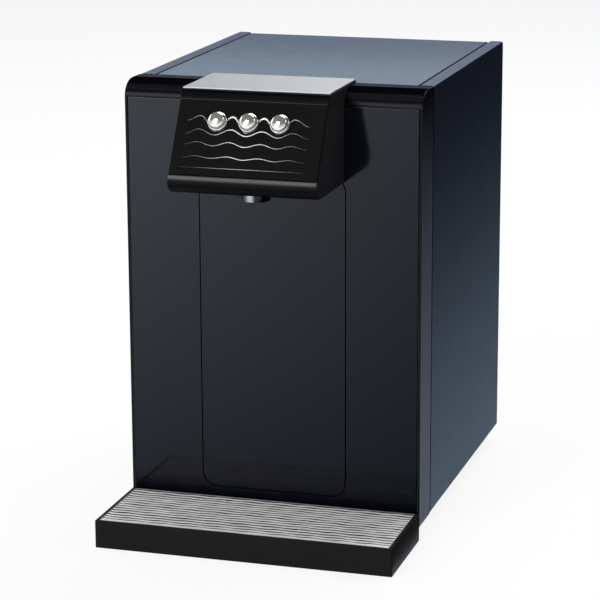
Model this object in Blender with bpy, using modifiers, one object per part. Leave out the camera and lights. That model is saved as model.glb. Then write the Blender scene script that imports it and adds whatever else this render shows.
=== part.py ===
"""Countertop water dispenser: a steel casing with a moulded front, an overhanging head with three
push buttons and one nozzle, a drip tray with a grille, and the tanks, valves and cooling unit inside.

Metres, +Z up. The front faces -Y, and the origin is the middle of the footprint at counter level."""

import math

import bmesh
import bpy
from mathutils import Matrix, Vector

# Driving sizes of the whole dispenser
casing_width = 0.260
casing_depth = 0.311
casing_top = 0.386
casing_bottom = 0.012
tray_reach = 0.0925

# Stock and clearances that every piece shares
steel_sheet = 0.0012
moulding_wall = 0.0025
fit_gap = 0.0003
seam = 0.0010
overrun = 0.004
cap_weld = 0.00001
turn_weld = 0.0001
corner_cut_share = 0.25
sharp_angle = math.radians(35)

half_width = casing_width / 2
front_y = -(casing_depth - tray_reach) / 2
rear_y = front_y + casing_depth

for old in list(bpy.data.objects):
    bpy.data.objects.remove(old, do_unlink=True)

parts = bpy.data.collections.new("water_dispenser")
helpers = bpy.data.collections.new("cutters")
bpy.context.scene.collection.children.link(parts)
bpy.context.scene.collection.children.link(helpers)


def finish(name, colour, roughness, metallic=0.0):
    """A Principled material in the piece's colour."""
    material = bpy.data.materials.new(name)
    material.use_nodes = True
    shader = material.node_tree.nodes["Principled BSDF"]
    shader.inputs["Base Color"].default_value = (*colour, 1.0)
    shader.inputs["Roughness"].default_value = roughness
    shader.inputs["Metallic"].default_value = metallic
    material.diffuse_color = (*colour, 1.0)
    return material


blue_steel = finish("blue_steel", (0.055, 0.085, 0.125), 0.35, 0.6)
gloss_charcoal = finish("gloss_charcoal", (0.022, 0.024, 0.030), 0.12)
matt_black = finish("matt_black", (0.012, 0.012, 0.012), 0.45)
silver_plate = finish("silver_plate", (0.55, 0.56, 0.60), 0.30, 1.0)
chrome = finish("chrome", (0.80, 0.80, 0.82), 0.08, 1.0)
stainless = finish("stainless", (0.62, 0.62, 0.60), 0.30, 1.0)
zinc_steel = finish("zinc_steel", (0.45, 0.46, 0.47), 0.40, 1.0)
soft_rubber = finish("soft_rubber", (0.015, 0.015, 0.015), 0.80)
white_foam = finish("white_foam", (0.80, 0.80, 0.78), 0.90)
copper = finish("copper", (0.72, 0.38, 0.24), 0.30, 1.0)
board_green = finish("board_green", (0.02, 0.13, 0.06), 0.50)
natural_plastic = finish("natural_plastic", (0.70, 0.72, 0.74), 0.40)


def place(name, data, material, at=(0, 0, 0), turn=(0, 0, 0), helper=False):
    """A named object in the parts or, for a cutter, in the helpers."""
    piece = bpy.data.objects.new(name, data)
    piece.location = at
    piece.rotation_euler = turn
    if helper:
        helpers.objects.link(piece)
        piece.hide_render = True
        piece.display_type = "WIRE"
    else:
        parts.objects.link(piece)
    if material:
        piece.data.materials.append(material)
    return piece


def mesh_from(shape, name):
    """The finished mesh of a bmesh, with its normals outwards."""
    bmesh.ops.recalc_face_normals(shape, faces=shape.faces)
    mesh = bpy.data.meshes.new(name)
    shape.to_mesh(mesh)
    shape.free()
    return smoothed(mesh)


def smoothed(mesh):
    """The mesh shaded smooth, with its corners left sharp."""
    mesh.shade_smooth()
    mesh.set_sharp_from_angle(angle=sharp_angle)
    return mesh


def block(name, low, high, material=None, helper=False):
    """A box between two corners, with its origin in its middle."""
    size = Vector(high) - Vector(low)
    middle = (Vector(high) + Vector(low)) / 2
    shape = bmesh.new()
    bmesh.ops.create_cube(shape, size=1.0)
    bmesh.ops.scale(shape, vec=size, verts=shape.verts)
    return place(name, mesh_from(shape, name), material, middle, helper=helper)


def open_box(name, low, high, wall, material, mouth):
    """A box of sheet with one side left out; mouth is the outward direction of the missing side."""
    size = Vector(high) - Vector(low)
    middle = (Vector(high) + Vector(low)) / 2
    shape = bmesh.new()
    bmesh.ops.create_cube(shape, size=1.0)
    bmesh.ops.scale(shape, vec=size, verts=shape.verts)
    bmesh.ops.recalc_face_normals(shape, faces=shape.faces)
    missing = [face for face in shape.faces if face.normal.dot(Vector(mouth)) > 0.9]
    bmesh.ops.delete(shape, geom=missing, context="FACES_ONLY")
    mesh = bpy.data.meshes.new(name)
    shape.to_mesh(mesh)
    shape.free()
    box = place(name, mesh, material, middle)
    shell = box.modifiers.new("wall", "SOLIDIFY")
    shell.thickness = wall
    shell.offset = -1
    shell.use_even_offset = True
    return box


def rod(name, radius, low, high, material=None, helper=False, sides=24):
    """A round bar between two points."""
    low = Vector(low)
    high = Vector(high)
    axis = high - low
    shape = bmesh.new()
    bmesh.ops.create_cone(
        shape, cap_ends=True, segments=sides, radius1=radius, radius2=radius, depth=axis.length
    )
    turn = axis.to_track_quat("Z", "Y").to_euler()
    return place(name, mesh_from(shape, name), material, (low + high) / 2, turn, helper)


def turned(name, profile, material, at=(0, 0, 0), turn=(0, 0, 0), sides=24, helper=False):
    """A piece turned about its own Z; the profile is (radius, height), down its outer side."""
    mesh = bpy.data.meshes.new(name)
    points = [(radius, 0, height) for radius, height in profile]
    edges = [(i, i + 1) for i in range(len(points) - 1)]
    mesh.from_pydata(points, edges, [])
    drawn = place(name + "_profile", mesh, None, at, turn)
    screw = drawn.modifiers.new("turn", "SCREW")
    screw.steps = sides
    screw.render_steps = sides
    screw.use_merge_vertices = True
    screw.merge_threshold = turn_weld
    return as_mesh(drawn, name, material, helper)


def closed_ring(profile):
    """The same profile, closed for a piece with a bore right through."""
    return [*profile, profile[0]]


def flat_outline(name, loops, thickness, material, at, turn, helper=False):
    """A plate cut from a flat outline; the loops after the first are its holes."""
    curve = bpy.data.curves.new(name, "CURVE")
    curve.dimensions = "2D"
    curve.fill_mode = "BOTH"
    curve.extrude = thickness / 2
    for loop in loops:
        spline = curve.splines.new("POLY")
        spline.points.add(len(loop) - 1)
        for point, (x, y) in zip(spline.points, loop):
            point.co = (x, y, 0, 1)
        spline.use_cyclic_u = True
    drawn = place(name + "_drawn", curve, None, at, turn)
    return as_mesh(drawn, name, material, helper)


def as_mesh(drawn, name, material, helper=False):
    """A drawn curve or profile made a plain mesh, its loose points welded, in the same place."""
    bpy.context.view_layer.update()
    graph = bpy.context.evaluated_depsgraph_get()
    mesh = bpy.data.meshes.new_from_object(drawn.evaluated_get(graph))
    mesh.name = name
    shape = bmesh.new()
    shape.from_mesh(mesh)
    bmesh.ops.remove_doubles(shape, verts=shape.verts, dist=cap_weld)
    bmesh.ops.recalc_face_normals(shape, faces=shape.faces)
    shape.to_mesh(mesh)
    shape.free()
    mesh.materials.clear()
    at = drawn.location.copy()
    turn = drawn.rotation_euler.copy()
    bpy.data.objects.remove(drawn, do_unlink=True)
    return place(name, smoothed(mesh), material, at, turn, helper)


def tube(name, points, radius, material, detail=2):
    """A round tube through the points, closed at both ends."""
    curve = bpy.data.curves.new(name, "CURVE")
    curve.dimensions = "3D"
    curve.bevel_depth = radius
    curve.bevel_resolution = detail
    curve.use_fill_caps = True
    spline = curve.splines.new("POLY")
    spline.points.add(len(points) - 1)
    for point, place_on_route in zip(spline.points, points):
        point.co = (*place_on_route, 1)
    return place(name, curve, material)


def smooth_route(stations, rounds=2):
    """Points along a smooth curve near the stations, made by cutting each corner again and again."""
    route = [Vector(station) for station in stations]
    for _ in range(rounds):
        cut_route = [route[0]]
        for start, stop in zip(route, route[1:]):
            cut_route.append(start.lerp(stop, corner_cut_share))
            cut_route.append(start.lerp(stop, 1 - corner_cut_share))
        route = [*cut_route, route[-1]]
    return route


def boolean(target, other, operation):
    """Cuts the other shape out of the target, or joins it on."""
    step = target.modifiers.new(other.name, "BOOLEAN")
    step.operation = operation
    step.solver = "EXACT"
    step.object = other


def cut(target, *others):
    for other in others:
        boolean(target, other, "DIFFERENCE")


def join(target, *others):
    for other in others:
        boolean(target, other, "UNION")


def soften(piece, width, segments=2, angle=60):
    """Rounds the edges of a piece that turn more than the angle."""
    bevel = piece.modifiers.new("edges", "BEVEL")
    bevel.width = width
    bevel.segments = segments
    bevel.limit_method = "ANGLE"
    bevel.angle_limit = math.radians(angle)
    return bevel


def arc(centre, across, up, start, end, steps):
    """Points on a round or oval arc; angles in degrees from +X."""
    points = []
    for step in range(steps + 1):
        angle = math.radians(start + (end - start) * step / steps)
        points.append((centre[0] + across * math.cos(angle), centre[1] + up * math.sin(angle)))
    return points


def fillet(before, corner, after, radius, steps):
    """Points of the arc that rounds a corner of an outline."""
    corner = Vector(corner)
    back = (Vector(before) - corner).normalized()
    ahead = (Vector(after) - corner).normalized()
    half = back.angle(ahead) / 2
    centre = corner + (back + ahead).normalized() * radius / math.sin(half)
    start = corner + back * radius / math.tan(half) - centre
    turn = math.pi - 2 * half
    if back.x * ahead.y - back.y * ahead.x > 0:
        turn = -turn
    points = []
    for step in range(steps + 1):
        spoke = start.copy()
        spoke.rotate(Matrix.Rotation(turn * step / steps, 2))
        points.append(tuple(centre + spoke))
    return points


def rectangle(x_low, x_high, y_low, y_high):
    return [(x_low, y_low), (x_high, y_low), (x_high, y_high), (x_low, y_high)]


def rounded_rectangle(x_low, x_high, y_low, y_high, radius, steps=3):
    """A rectangle's outline with four round corners."""
    corners = rectangle(x_low, x_high, y_low, y_high)
    outline = []
    for i, corner in enumerate(corners):
        outline += fillet(corners[i - 1], corner, corners[(i + 1) % 4], radius, steps)
    return outline


def bent_sheet(path, thickness, bend, steps=2):
    """The section of a folded sheet: path is one face, and the sheet lies to its left."""
    face = [path[0]]
    back = [left_of(path[0], path[0], path[1], thickness)]
    for before, corner, after in zip(path, path[1:], path[2:]):
        into = Vector(corner) - Vector(before)
        out = Vector(after) - Vector(corner)
        left_turn = into.x * out.y - into.y * out.x > 0
        outer = bend + thickness if left_turn else bend
        inner = bend if left_turn else bend + thickness
        rounded = fillet(before, corner, after, outer, steps)
        centre = arc_centre(before, corner, after, outer)
        face += rounded
        back += [tuple(centre + (Vector(p) - centre) * inner / outer) for p in rounded]
    face.append(path[-1])
    back.append(left_of(path[-1], path[-2], path[-1], thickness))
    return face + back[::-1]


def left_of(point, start, end, distance):
    """The point moved to the left of the direction from start to end."""
    along = (Vector(end) - Vector(start)).normalized()
    return (point[0] - along.y * distance, point[1] + along.x * distance)


def arc_centre(before, corner, after, radius):
    """The centre of the arc that rounds a corner."""
    corner = Vector(corner)
    back = (Vector(before) - corner).normalized()
    ahead = (Vector(after) - corner).normalized()
    return corner + (back + ahead).normalized() * radius / math.sin(back.angle(ahead) / 2)


# An outline drawn in X and Z stands upright facing the front, and one drawn in Y and Z faces the side
upright = (math.pi / 2, 0, 0)
sideways = (math.pi / 2, 0, math.pi / 2)

# Casing: two folded side panels, a flat top sheet, a base pan and a rear panel
flange_width = 0.013
ledge_width = 0.009
ledge_drop = 0.0021
bottom_flange = 0.012
rear_flange = 0.014
rear_inset = 0.003
sheet_bend = 0.0008
cap_depth = 0.0370
pan_lip = 0.014

casing_back_of_front = front_y + cap_depth + seam
panel_inner_x = half_width - steel_sheet - fit_gap
rear_sheet_front = rear_y - rear_inset - steel_sheet
ledge_under = casing_top - ledge_drop - steel_sheet

screw_radius = 0.0019
screw_length = 0.010
screw_head_radius = 0.0036
screw_head_height = 0.0022
screw_margin = 0.030
screw_x = half_width - steel_sheet - rear_flange / 2
screw_heights = {"low": casing_bottom + screw_margin, "high": ledge_under - screw_margin}


def side_panel(name, side):
    """One folded side panel; side is -1 on the left and 1 on the right."""
    step_x = half_width - flange_width
    path = [
        (half_width - bottom_flange, casing_bottom),
        (half_width, casing_bottom),
        (half_width, casing_top),
        (step_x, casing_top),
        (step_x, casing_top - ledge_drop),
        (step_x - ledge_width, casing_top - ledge_drop),
    ]
    section = [(side * x, z) for x, z in bent_sheet(path, steel_sheet, sheet_bend)]
    depth = rear_y - casing_back_of_front
    middle_y = (rear_y + casing_back_of_front) / 2
    panel = flat_outline(name, [section], depth, blue_steel, (0, middle_y, 0), upright)
    edges_x = sorted([side * (half_width - steel_sheet / 2), side * (half_width - rear_flange)])
    flange = block(
        name + "_flange",
        (edges_x[0], rear_sheet_front - fit_gap - steel_sheet, casing_bottom + steel_sheet / 2),
        (edges_x[1], rear_sheet_front - fit_gap, ledge_under + steel_sheet / 2),
        helper=True,
    )
    join(panel, flange)
    for height in screw_heights.values():
        cut(panel, screw_hole(name, side, height))
    return panel


def screw_hole(name, side, height):
    """A cutter for the hole of one rear screw."""
    return rod(
        name + "_screw_hole",
        screw_radius + fit_gap,
        (side * screw_x, rear_sheet_front - screw_length, height),
        (side * screw_x, rear_y + overrun, height),
        helper=True,
        sides=12,
    )


side_panel("side_panel_left", -1)
side_panel("side_panel_right", 1)

top_edge_x = half_width - flange_width - seam
top_sheet_low = casing_top - ledge_drop + fit_gap
block(
    "top_panel",
    (-top_edge_x, casing_back_of_front, top_sheet_low),
    (top_edge_x, rear_y - rear_inset, top_sheet_low + steel_sheet),
    blue_steel,
)

# Base pan: stands in the side panels on their bottom flanges
pan_floor_low = casing_bottom + steel_sheet + fit_gap
pan_floor_top = pan_floor_low + steel_sheet
front_sheet = 0.0030
pan_front = front_y + front_sheet + fit_gap
pan_back = rear_sheet_front - 2 * fit_gap - steel_sheet
pan_half = half_width - moulding_wall - fit_gap
vent_slot_width = 0.0034
vent_slot_length = 0.060
vent_pitch = 0.0085
pan_vents = 5
pan_vent_y_share = 0.62

base_pan = open_box(
    "base_pan",
    (-pan_half, pan_front, pan_floor_low),
    (pan_half, pan_back, pan_floor_low + pan_lip),
    steel_sheet,
    zinc_steel,
    (0, 0, 1),
)
for i in range(pan_vents):
    slot_y = front_y + casing_depth * pan_vent_y_share + (i - (pan_vents - 1) / 2) * vent_pitch
    cut(base_pan, block(
        "pan_vent",
        (half_width / 2 - vent_slot_length / 2, slot_y - vent_slot_width / 2, pan_floor_low - overrun),
        (half_width / 2 + vent_slot_length / 2, slot_y + vent_slot_width / 2, pan_floor_top + overrun),
        helper=True,
    ))

# Feet: four rubber studs pressed under the pan
foot_radius = 0.011
foot_taper = 0.0015
foot_inset_x = 0.045
foot_inset_y = 0.055
foot_top = pan_floor_low - fit_gap

for row, foot_y in (("front", front_y + foot_inset_y), ("rear", rear_y - foot_inset_y)):
    for hand, side in (("left", -1), ("right", 1)):
        turned(
            "foot_" + row + "_" + hand,
            [(0, foot_top), (foot_radius, foot_top), (foot_radius, foot_taper),
             (foot_radius - foot_taper, 0), (0, 0)],
            soft_rubber,
            (side * (half_width - foot_inset_x), foot_y, 0),
            sides=16,
        )

# Rear panel: flat sheet with air slots and the opening of the connection recess
recess_side = 0.020
recess_height = 0.058
recess_depth = 0.024
rear_vent_rows = 13
rear_vent_columns = 2
rear_vent_low = 0.112
rear_vent_side_gap = 0.012

recess_half = half_width - recess_side
recess_low = pan_floor_low + pan_lip + fit_gap + steel_sheet
recess_high = recess_low + recess_height
rear_low = casing_bottom + steel_sheet + fit_gap
rear_high = ledge_under - fit_gap
rear_loops = [rectangle(-panel_inner_x, panel_inner_x, rear_low, rear_high)]
rear_loops.append(rectangle(-recess_half, recess_half, recess_low, recess_high))
for row in range(rear_vent_rows):
    slot_z = rear_vent_low + row * vent_pitch
    for column in range(rear_vent_columns):
        slot_x = (column - (rear_vent_columns - 1) / 2) * (vent_slot_length + rear_vent_side_gap)
        rear_loops.append(rectangle(
            slot_x - vent_slot_length / 2, slot_x + vent_slot_length / 2,
            slot_z - vent_slot_width / 2, slot_z + vent_slot_width / 2,
        ))
rear_panel = flat_outline(
    "rear_panel", rear_loops, steel_sheet, blue_steel,
    (0, rear_sheet_front + steel_sheet / 2, 0), upright,
)
for hand, side in (("left", -1), ("right", 1)):
    for level, height in screw_heights.items():
        cut(rear_panel, screw_hole("rear_panel", side, height))
        turned(
            "rear_screw_" + level + "_" + hand,
            [(0, screw_head_height), (screw_head_radius, 0), (screw_radius, 0),
             (screw_radius, -screw_length), (0, -screw_length)],
            zinc_steel,
            (side * screw_x, rear_y - rear_inset + fit_gap, height),
            (-math.pi / 2, 0, 0),
            sides=12,
        )

# Service panel: the recess behind the rear panel that carries every connection
recess_floor_y = rear_sheet_front - fit_gap - recess_depth
service_panel = open_box(
    "service_panel",
    (-recess_half - steel_sheet, recess_floor_y - steel_sheet, recess_low - steel_sheet),
    (recess_half + steel_sheet, rear_sheet_front - fit_gap, recess_high + steel_sheet),
    steel_sheet,
    zinc_steel,
    (0, 1, 0),
)

# Front: a moulded surround with a rounded top and two cheeks, and the flat front panel in it
nose_depth = 0.018
nose_drop = 0.0135
nose_steps = 6
window_half = 0.018
window_rise = 0.010
window_height = 0.024
splash_half = 0.0640
splash_low = 0.0285
splash_lap = 0.0045
splash_corner = 0.010
splash_seam = 0.0008
head_rise = 0.0020
head_height = 0.0800

head_top = casing_top + head_rise
head_under = head_top - head_height
window_low = head_under + window_rise
window_high = window_low + window_height
splash_high = head_under + splash_lap
nose_centre = (front_y + nose_depth, casing_top - nose_drop)
surround_back = front_y + cap_depth
front_panel_top = casing_top - nose_drop - seam / 2
panel_half = half_width - moulding_wall - seam / 2


def nose_curve(inset):
    """The rounded top of the front, from the flat top forwards and down."""
    return arc(nose_centre, nose_depth - inset, nose_drop - inset, 90, 180, nose_steps)


front_surround = flat_outline(
    "front_surround",
    [[(surround_back, casing_bottom), (surround_back, casing_top), *nose_curve(0),
      (front_y, casing_bottom)]],
    casing_width,
    gloss_charcoal,
    (0, 0, 0),
    sideways,
)
surround_hollow = flat_outline(
    "surround_hollow",
    [[(surround_back + overrun, casing_bottom - overrun),
      (surround_back + overrun, casing_top - moulding_wall), *nose_curve(moulding_wall),
      (front_y + moulding_wall, casing_bottom - overrun)]],
    casing_width - 2 * moulding_wall,
    None,
    (0, 0, 0),
    sideways,
    helper=True,
)
surround_opening = block(
    "surround_opening",
    (-half_width + moulding_wall, front_y - overrun, casing_bottom - overrun),
    (half_width - moulding_wall, front_y + moulding_wall + overrun, casing_top - nose_drop),
    helper=True,
)
cut(front_surround, surround_hollow, surround_opening)

flat_outline(
    "front_panel",
    [
        rectangle(-panel_half, panel_half, casing_bottom, front_panel_top),
        rounded_rectangle(
            -splash_half - splash_seam, splash_half + splash_seam,
            splash_low - splash_seam, splash_high + splash_seam, splash_corner + splash_seam,
        ),
        rectangle(-window_half, window_half, window_low, window_high),
    ],
    front_sheet,
    gloss_charcoal,
    (0, front_y + front_sheet / 2, 0),
    upright,
)
flat_outline(
    "splash_panel",
    [rounded_rectangle(-splash_half, splash_half, splash_low, splash_high, splash_corner)],
    front_sheet,
    gloss_charcoal,
    (0, front_y + front_sheet / 2, 0),
    upright,
)

# Head: a moulded shell over the front panel, with a sloped face above a round lip
head_half = 0.0635
head_reach = 0.0425
face_angle = math.radians(30.5)
brow_radius = 0.0040
lip_radius = 0.0100
brow_height = 0.0075
face_plate_sheet = 0.0016
head_steps = 5
head_plate_sheet = 0.0013
head_plate_border = 0.0004

# Distances along the sloped face are counted down from its virtual top corner
face_top = Vector((front_y - head_reach, head_top))
face_down = Vector((-math.sin(face_angle), -math.cos(face_angle)))
face_out = Vector((-math.cos(face_angle), math.sin(face_angle)))
face_length = (head_top - head_under) / math.cos(face_angle)
lip_corner = face_top + face_down * face_length
lip_turn = math.pi / 2 + face_angle
lip_start = face_length - lip_radius * math.tan(lip_turn / 2)
face_seat = face_plate_sheet + fit_gap
head_back = front_y - fit_gap
head_top_back = surround_back


def on_face(down, depth=0.0):
    """The point (y, z) this far down the sloped face and this deep behind it."""
    return tuple(face_top + face_down * down - face_out * depth)


def head_front(inset):
    """The front of the head from its top to its underside, moved inwards by inset."""
    top_corner = (face_top.x + inset * math.tan(math.pi / 4 - face_angle / 2), head_top - inset)
    lower_y = lip_corner.x + inset / math.tan((math.pi - lip_turn) / 2)
    lower_corner = (lower_y, head_under + inset)
    brow = fillet((head_back, head_top - inset), top_corner, lower_corner,
                  max(brow_radius - inset, brow_radius / 4), head_steps)
    lip = fillet(top_corner, lower_corner, (head_back, head_under + inset),
                 max(lip_radius - inset, lip_radius / 4), head_steps)
    return brow, lip


brow, lip = head_front(0)
head_outline = [
    (head_top_back, head_top),
    *brow,
    on_face(brow_height),
    on_face(brow_height, face_seat),
    on_face(lip_start - seam, face_seat),
    on_face(lip_start - seam),
    *lip,
    (head_back, head_under),
]
saddle = arc(nose_centre, nose_depth + fit_gap, nose_drop + fit_gap, 180, 90, nose_steps)
head_outline += [*saddle, (head_top_back, casing_top + fit_gap)]
head_shell = flat_outline(
    "head_shell", [head_outline], 2 * head_half, matt_black, (0, 0, 0), sideways
)
inner_brow, inner_lip = head_front(moulding_wall + face_seat)
head_hollow = flat_outline(
    "head_hollow",
    [[(head_back + overrun, head_top - moulding_wall - face_seat), *inner_brow, *inner_lip,
      (head_back + overrun, head_under + moulding_wall + face_seat)]],
    2 * (head_half - moulding_wall),
    None,
    (0, 0, 0),
    sideways,
    helper=True,
)
cut(head_shell, head_hollow)

head_plate_back = head_top_back
block(
    "head_top_plate",
    (-head_half + head_plate_border, brow[0][0], head_top + fit_gap),
    (head_half - head_plate_border, head_plate_back, head_top + fit_gap + head_plate_sheet),
    silver_plate,
)

# Control plate: a thin plate on the sloped face, with five raised wave lines
button_pitch = 0.0266
button_down = 0.0275
buttons_x = -0.0010
stem_radius = 0.0035
bezel_radius = 0.0084
wave_reach = 0.0515
wave_stroke = 0.0015
wave_taper = 0.0003
wave_height = 0.0005
wave_downs = (0.0289, 0.0368, 0.0466, 0.0583, 0.0682)
wave_swings = (0.0067, 0.0023, 0.0015, 0.0008, 0.0)
wave_points_per_pitch = 9
straight_wave_steps = 4
cradle_lift = 15
cradle_steps = 9

face_turn = (math.pi / 2 - face_angle, 0, 0)
button_places = [buttons_x + step * button_pitch for step in (-1, 0, 1)]
hands = ("left", "centre", "right")


def wave_line(down, swing, start=-wave_reach, stop=wave_reach):
    """The middle line of one wave from start to stop; its troughs lie under the buttons."""
    count = straight_wave_steps
    if swing:
        count = round((stop - start) / button_pitch * wave_points_per_pitch)
    line = []
    for i in range(count + 1):
        x = start + (stop - start) * i / count
        line.append((buttons_x + x, -down - swing * math.cos(2 * math.pi * x / button_pitch)))
    return line


def cradling_line(down, swing):
    """The top wave, which passes close under each button's bezel and arches between them."""
    cradle = bezel_radius + 2 * fit_gap + wave_stroke / 2
    beside = cradle * math.cos(math.radians(cradle_lift)) + wave_stroke / 4
    line = []
    start = -wave_reach
    for step in (-1, 0, 1):
        line += wave_line(down, swing, start, step * button_pitch - beside)
        centre = (buttons_x + step * button_pitch, -button_down)
        line += arc(centre, cradle, cradle, 180 - cradle_lift, 360 + cradle_lift, cradle_steps)
        start = step * button_pitch + beside
    return line + wave_line(down, swing, start, wave_reach)


def ribbon(line, stroke, end_stroke):
    """The outline of a stroke along the line, thin at its two ends."""
    left = []
    right = []
    last = len(line) - 1
    for i, point in enumerate(line):
        start = line[max(i - 1, 0)]
        end = line[min(i + 1, last)]
        fullness = math.sin(math.pi * i / last) ** 0.5 if 0 < i < last else 0
        half = (end_stroke + (stroke - end_stroke) * fullness) / 2
        left.append(left_of(point, start, end, half))
        right.append(left_of(point, start, end, -half))
    return left + right[::-1]


plate_low = -(lip_start - seam - fit_gap)
control_plate = flat_outline(
    "control_plate",
    [rectangle(-head_half + head_plate_border, head_half - head_plate_border,
               plate_low, -brow_height - fit_gap)],
    face_plate_sheet,
    matt_black,
    (0, *on_face(0, face_plate_sheet / 2)),
    face_turn,
)
for down, swing in zip(wave_downs, wave_swings):
    top_wave = down == wave_downs[0]
    line = cradling_line(down, swing) if top_wave else wave_line(down, swing)
    wave = flat_outline(
        "wave",
        [ribbon(line, wave_stroke, wave_taper)],
        wave_height * 2,
        None,
        (0, *on_face(0)),
        face_turn,
        helper=True,
    )
    join(control_plate, wave)
for x in button_places:
    stem_hole = rod(
        "stem_hole",
        stem_radius + fit_gap,
        (x, *on_face(button_down, -overrun)),
        (x, *on_face(button_down, face_seat + moulding_wall + overrun)),
        helper=True,
        sides=16,
    )
    cut(control_plate, stem_hole)
    cut(head_shell, stem_hole)

# Buttons: chrome domes in round bezels, each pressed on its own switch
button_radius = 0.0070
button_height = 0.0086
button_skirt = 0.0020
button_travel = 0.0025
bezel_height = 0.0036
bezel_chamfer = 0.0008
collar_radius = 0.0050
collar_sheet = 0.0010
dome_steps = 5

dome_base = bezel_height - 2 * fit_gap + button_skirt
cap_under = bezel_height - 3 * fit_gap
collar_top = -(face_seat + moulding_wall + fit_gap)
stem_end = collar_top - collar_sheet

for hand, x in zip(hands, button_places):
    turned(
        "button_bezel_" + hand,
        closed_ring([
            (button_radius + fit_gap, bezel_height),
            (bezel_radius - bezel_chamfer, bezel_height),
            (bezel_radius, bezel_height - bezel_chamfer),
            (bezel_radius, fit_gap),
            (button_radius + fit_gap, fit_gap),
        ]),
        chrome,
        (x, *on_face(button_down)),
        face_turn,
        sides=20,
    )
    dome = arc((0, dome_base), button_radius, button_height - dome_base, 90, 0, dome_steps)
    turned(
        "button_" + hand,
        [(0, button_height), *dome[1:], (button_radius, cap_under), (stem_radius, cap_under),
         (stem_radius, collar_top), (collar_radius, collar_top), (collar_radius, stem_end),
         (0, stem_end)],
        chrome,
        (x, *on_face(button_down)),
        face_turn,
        sides=20,
    )

# Switch board behind the face, on four posts, with one push switch under each button
board_sheet = 0.0016
board_half_x = 0.046
board_half_y = 0.0115
post_radius = 0.0025
post_inset = 0.004
push_switch_size = 0.007
push_switch_height = 0.0040
plunger_radius = 0.0017
plunger_height = 0.0015

plunger_top = -stem_end + button_travel + fit_gap
board_depth = plunger_top + plunger_height + push_switch_height


def in_face(x, up, depth):
    """A world point from its place on the face: across, up the slope and deep behind it."""
    return (x, *on_face(-up, depth))


def face_block(name, x, up, half_x, half_up, near, far):
    """A helper block square to the face, between two depths behind it."""
    piece = block(name, (-half_x, -half_up, 0), (half_x, half_up, far - near), helper=True)
    piece.location = in_face(x, up, (near + far) / 2)
    piece.rotation_euler = face_turn
    return piece


switch_board = block(
    "switch_board",
    (-board_half_x, -board_half_y, 0),
    (board_half_x, board_half_y, board_sheet),
    board_green,
)
switch_board.location = in_face(buttons_x, -button_down, board_depth + board_sheet / 2)
switch_board.rotation_euler = face_turn
for x in button_places:
    join(switch_board, face_block(
        "push_switch", x, -button_down, push_switch_size / 2, push_switch_size / 2,
        plunger_top + plunger_height, board_depth + board_sheet / 2,
    ))
    join(switch_board, rod(
        "plunger", plunger_radius,
        in_face(x, -button_down, board_depth), in_face(x, -button_down, plunger_top),
        helper=True, sides=10,
    ))
for side in (-1, 1):
    for level in (-1, 1):
        post_x = buttons_x + side * (board_half_x - post_inset)
        post_up = -button_down + level * (board_half_y - post_inset)
        join(switch_board, rod(
            "board_post", post_radius,
            in_face(post_x, post_up, board_depth + board_sheet / 2),
            in_face(post_x, post_up, face_seat + moulding_wall + fit_gap),
            helper=True, sides=10,
        ))

# Nozzle: a chrome skirt under the head, its neck screwed into the outlet block above
nozzle_reach = 0.0420
nozzle_radius = 0.0120
nozzle_drop = 0.0130
nozzle_mouth = 0.0085
nozzle_mouth_depth = 0.0090
nozzle_bore = 0.0030
nozzle_neck = 0.0070
nozzle_neck_rise = 0.0070
nozzle_edge = 0.0010
hose_radius = 0.0035
hose_barb_radius = 0.0025
outlet_half_x = 0.0180
outlet_half_y = 0.0100
outlet_height = 0.0210
outlet_barb_pitch = 0.0110
outlet_barb_height = 0.0130
outlet_barb_length = 0.0060

nozzle_y = front_y - nozzle_reach
nozzle_low = head_under - nozzle_drop
head_floor = head_under + moulding_wall + face_seat
outlet_low = head_floor + fit_gap
nozzle_top = head_under - fit_gap
turned(
    "nozzle",
    closed_ring([
        (nozzle_bore, outlet_low + nozzle_neck_rise),
        (nozzle_neck, outlet_low + nozzle_neck_rise),
        (nozzle_neck, nozzle_top),
        (nozzle_radius, nozzle_top),
        (nozzle_radius, nozzle_low + nozzle_edge),
        (nozzle_radius - nozzle_edge, nozzle_low),
        (nozzle_mouth, nozzle_low),
        (nozzle_mouth, nozzle_low + nozzle_mouth_depth),
        (nozzle_bore, nozzle_low + nozzle_mouth_depth),
    ]),
    chrome,
    (0, nozzle_y, 0),
)
neck_hole = rod(
    "neck_hole", nozzle_neck + fit_gap,
    (0, nozzle_y, head_under - overrun), (0, nozzle_y, outlet_low + nozzle_neck_rise + fit_gap),
    helper=True,
)
cut(head_shell, neck_hole)
outlet_block = block(
    "outlet_block",
    (-outlet_half_x, nozzle_y - outlet_half_y, outlet_low),
    (outlet_half_x, nozzle_y + outlet_half_y, outlet_low + outlet_height),
    natural_plastic,
)
outlet_barb_z = outlet_low + outlet_barb_height
for step in (-1, 0, 1):
    join(outlet_block, rod(
        "outlet_barb", hose_barb_radius,
        (step * outlet_barb_pitch, nozzle_y, outlet_barb_z),
        (step * outlet_barb_pitch, nozzle_y + outlet_half_y + outlet_barb_length, outlet_barb_z),
        helper=True, sides=10,
    ))
cut(outlet_block, neck_hole)

# Drip tray: an open tub in front of the casing, with a tongue that slides under the pan
tray_height = 0.0245
tray_wall = 0.0022
tray_floor = 0.0022
tray_ledge = 0.0025
grille_sheet = 0.0015
tray_edge = 0.0008
tongue_half = 0.050
tongue_length = 0.045
tongue_low = 0.0010
tongue_high = 0.0100

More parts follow.
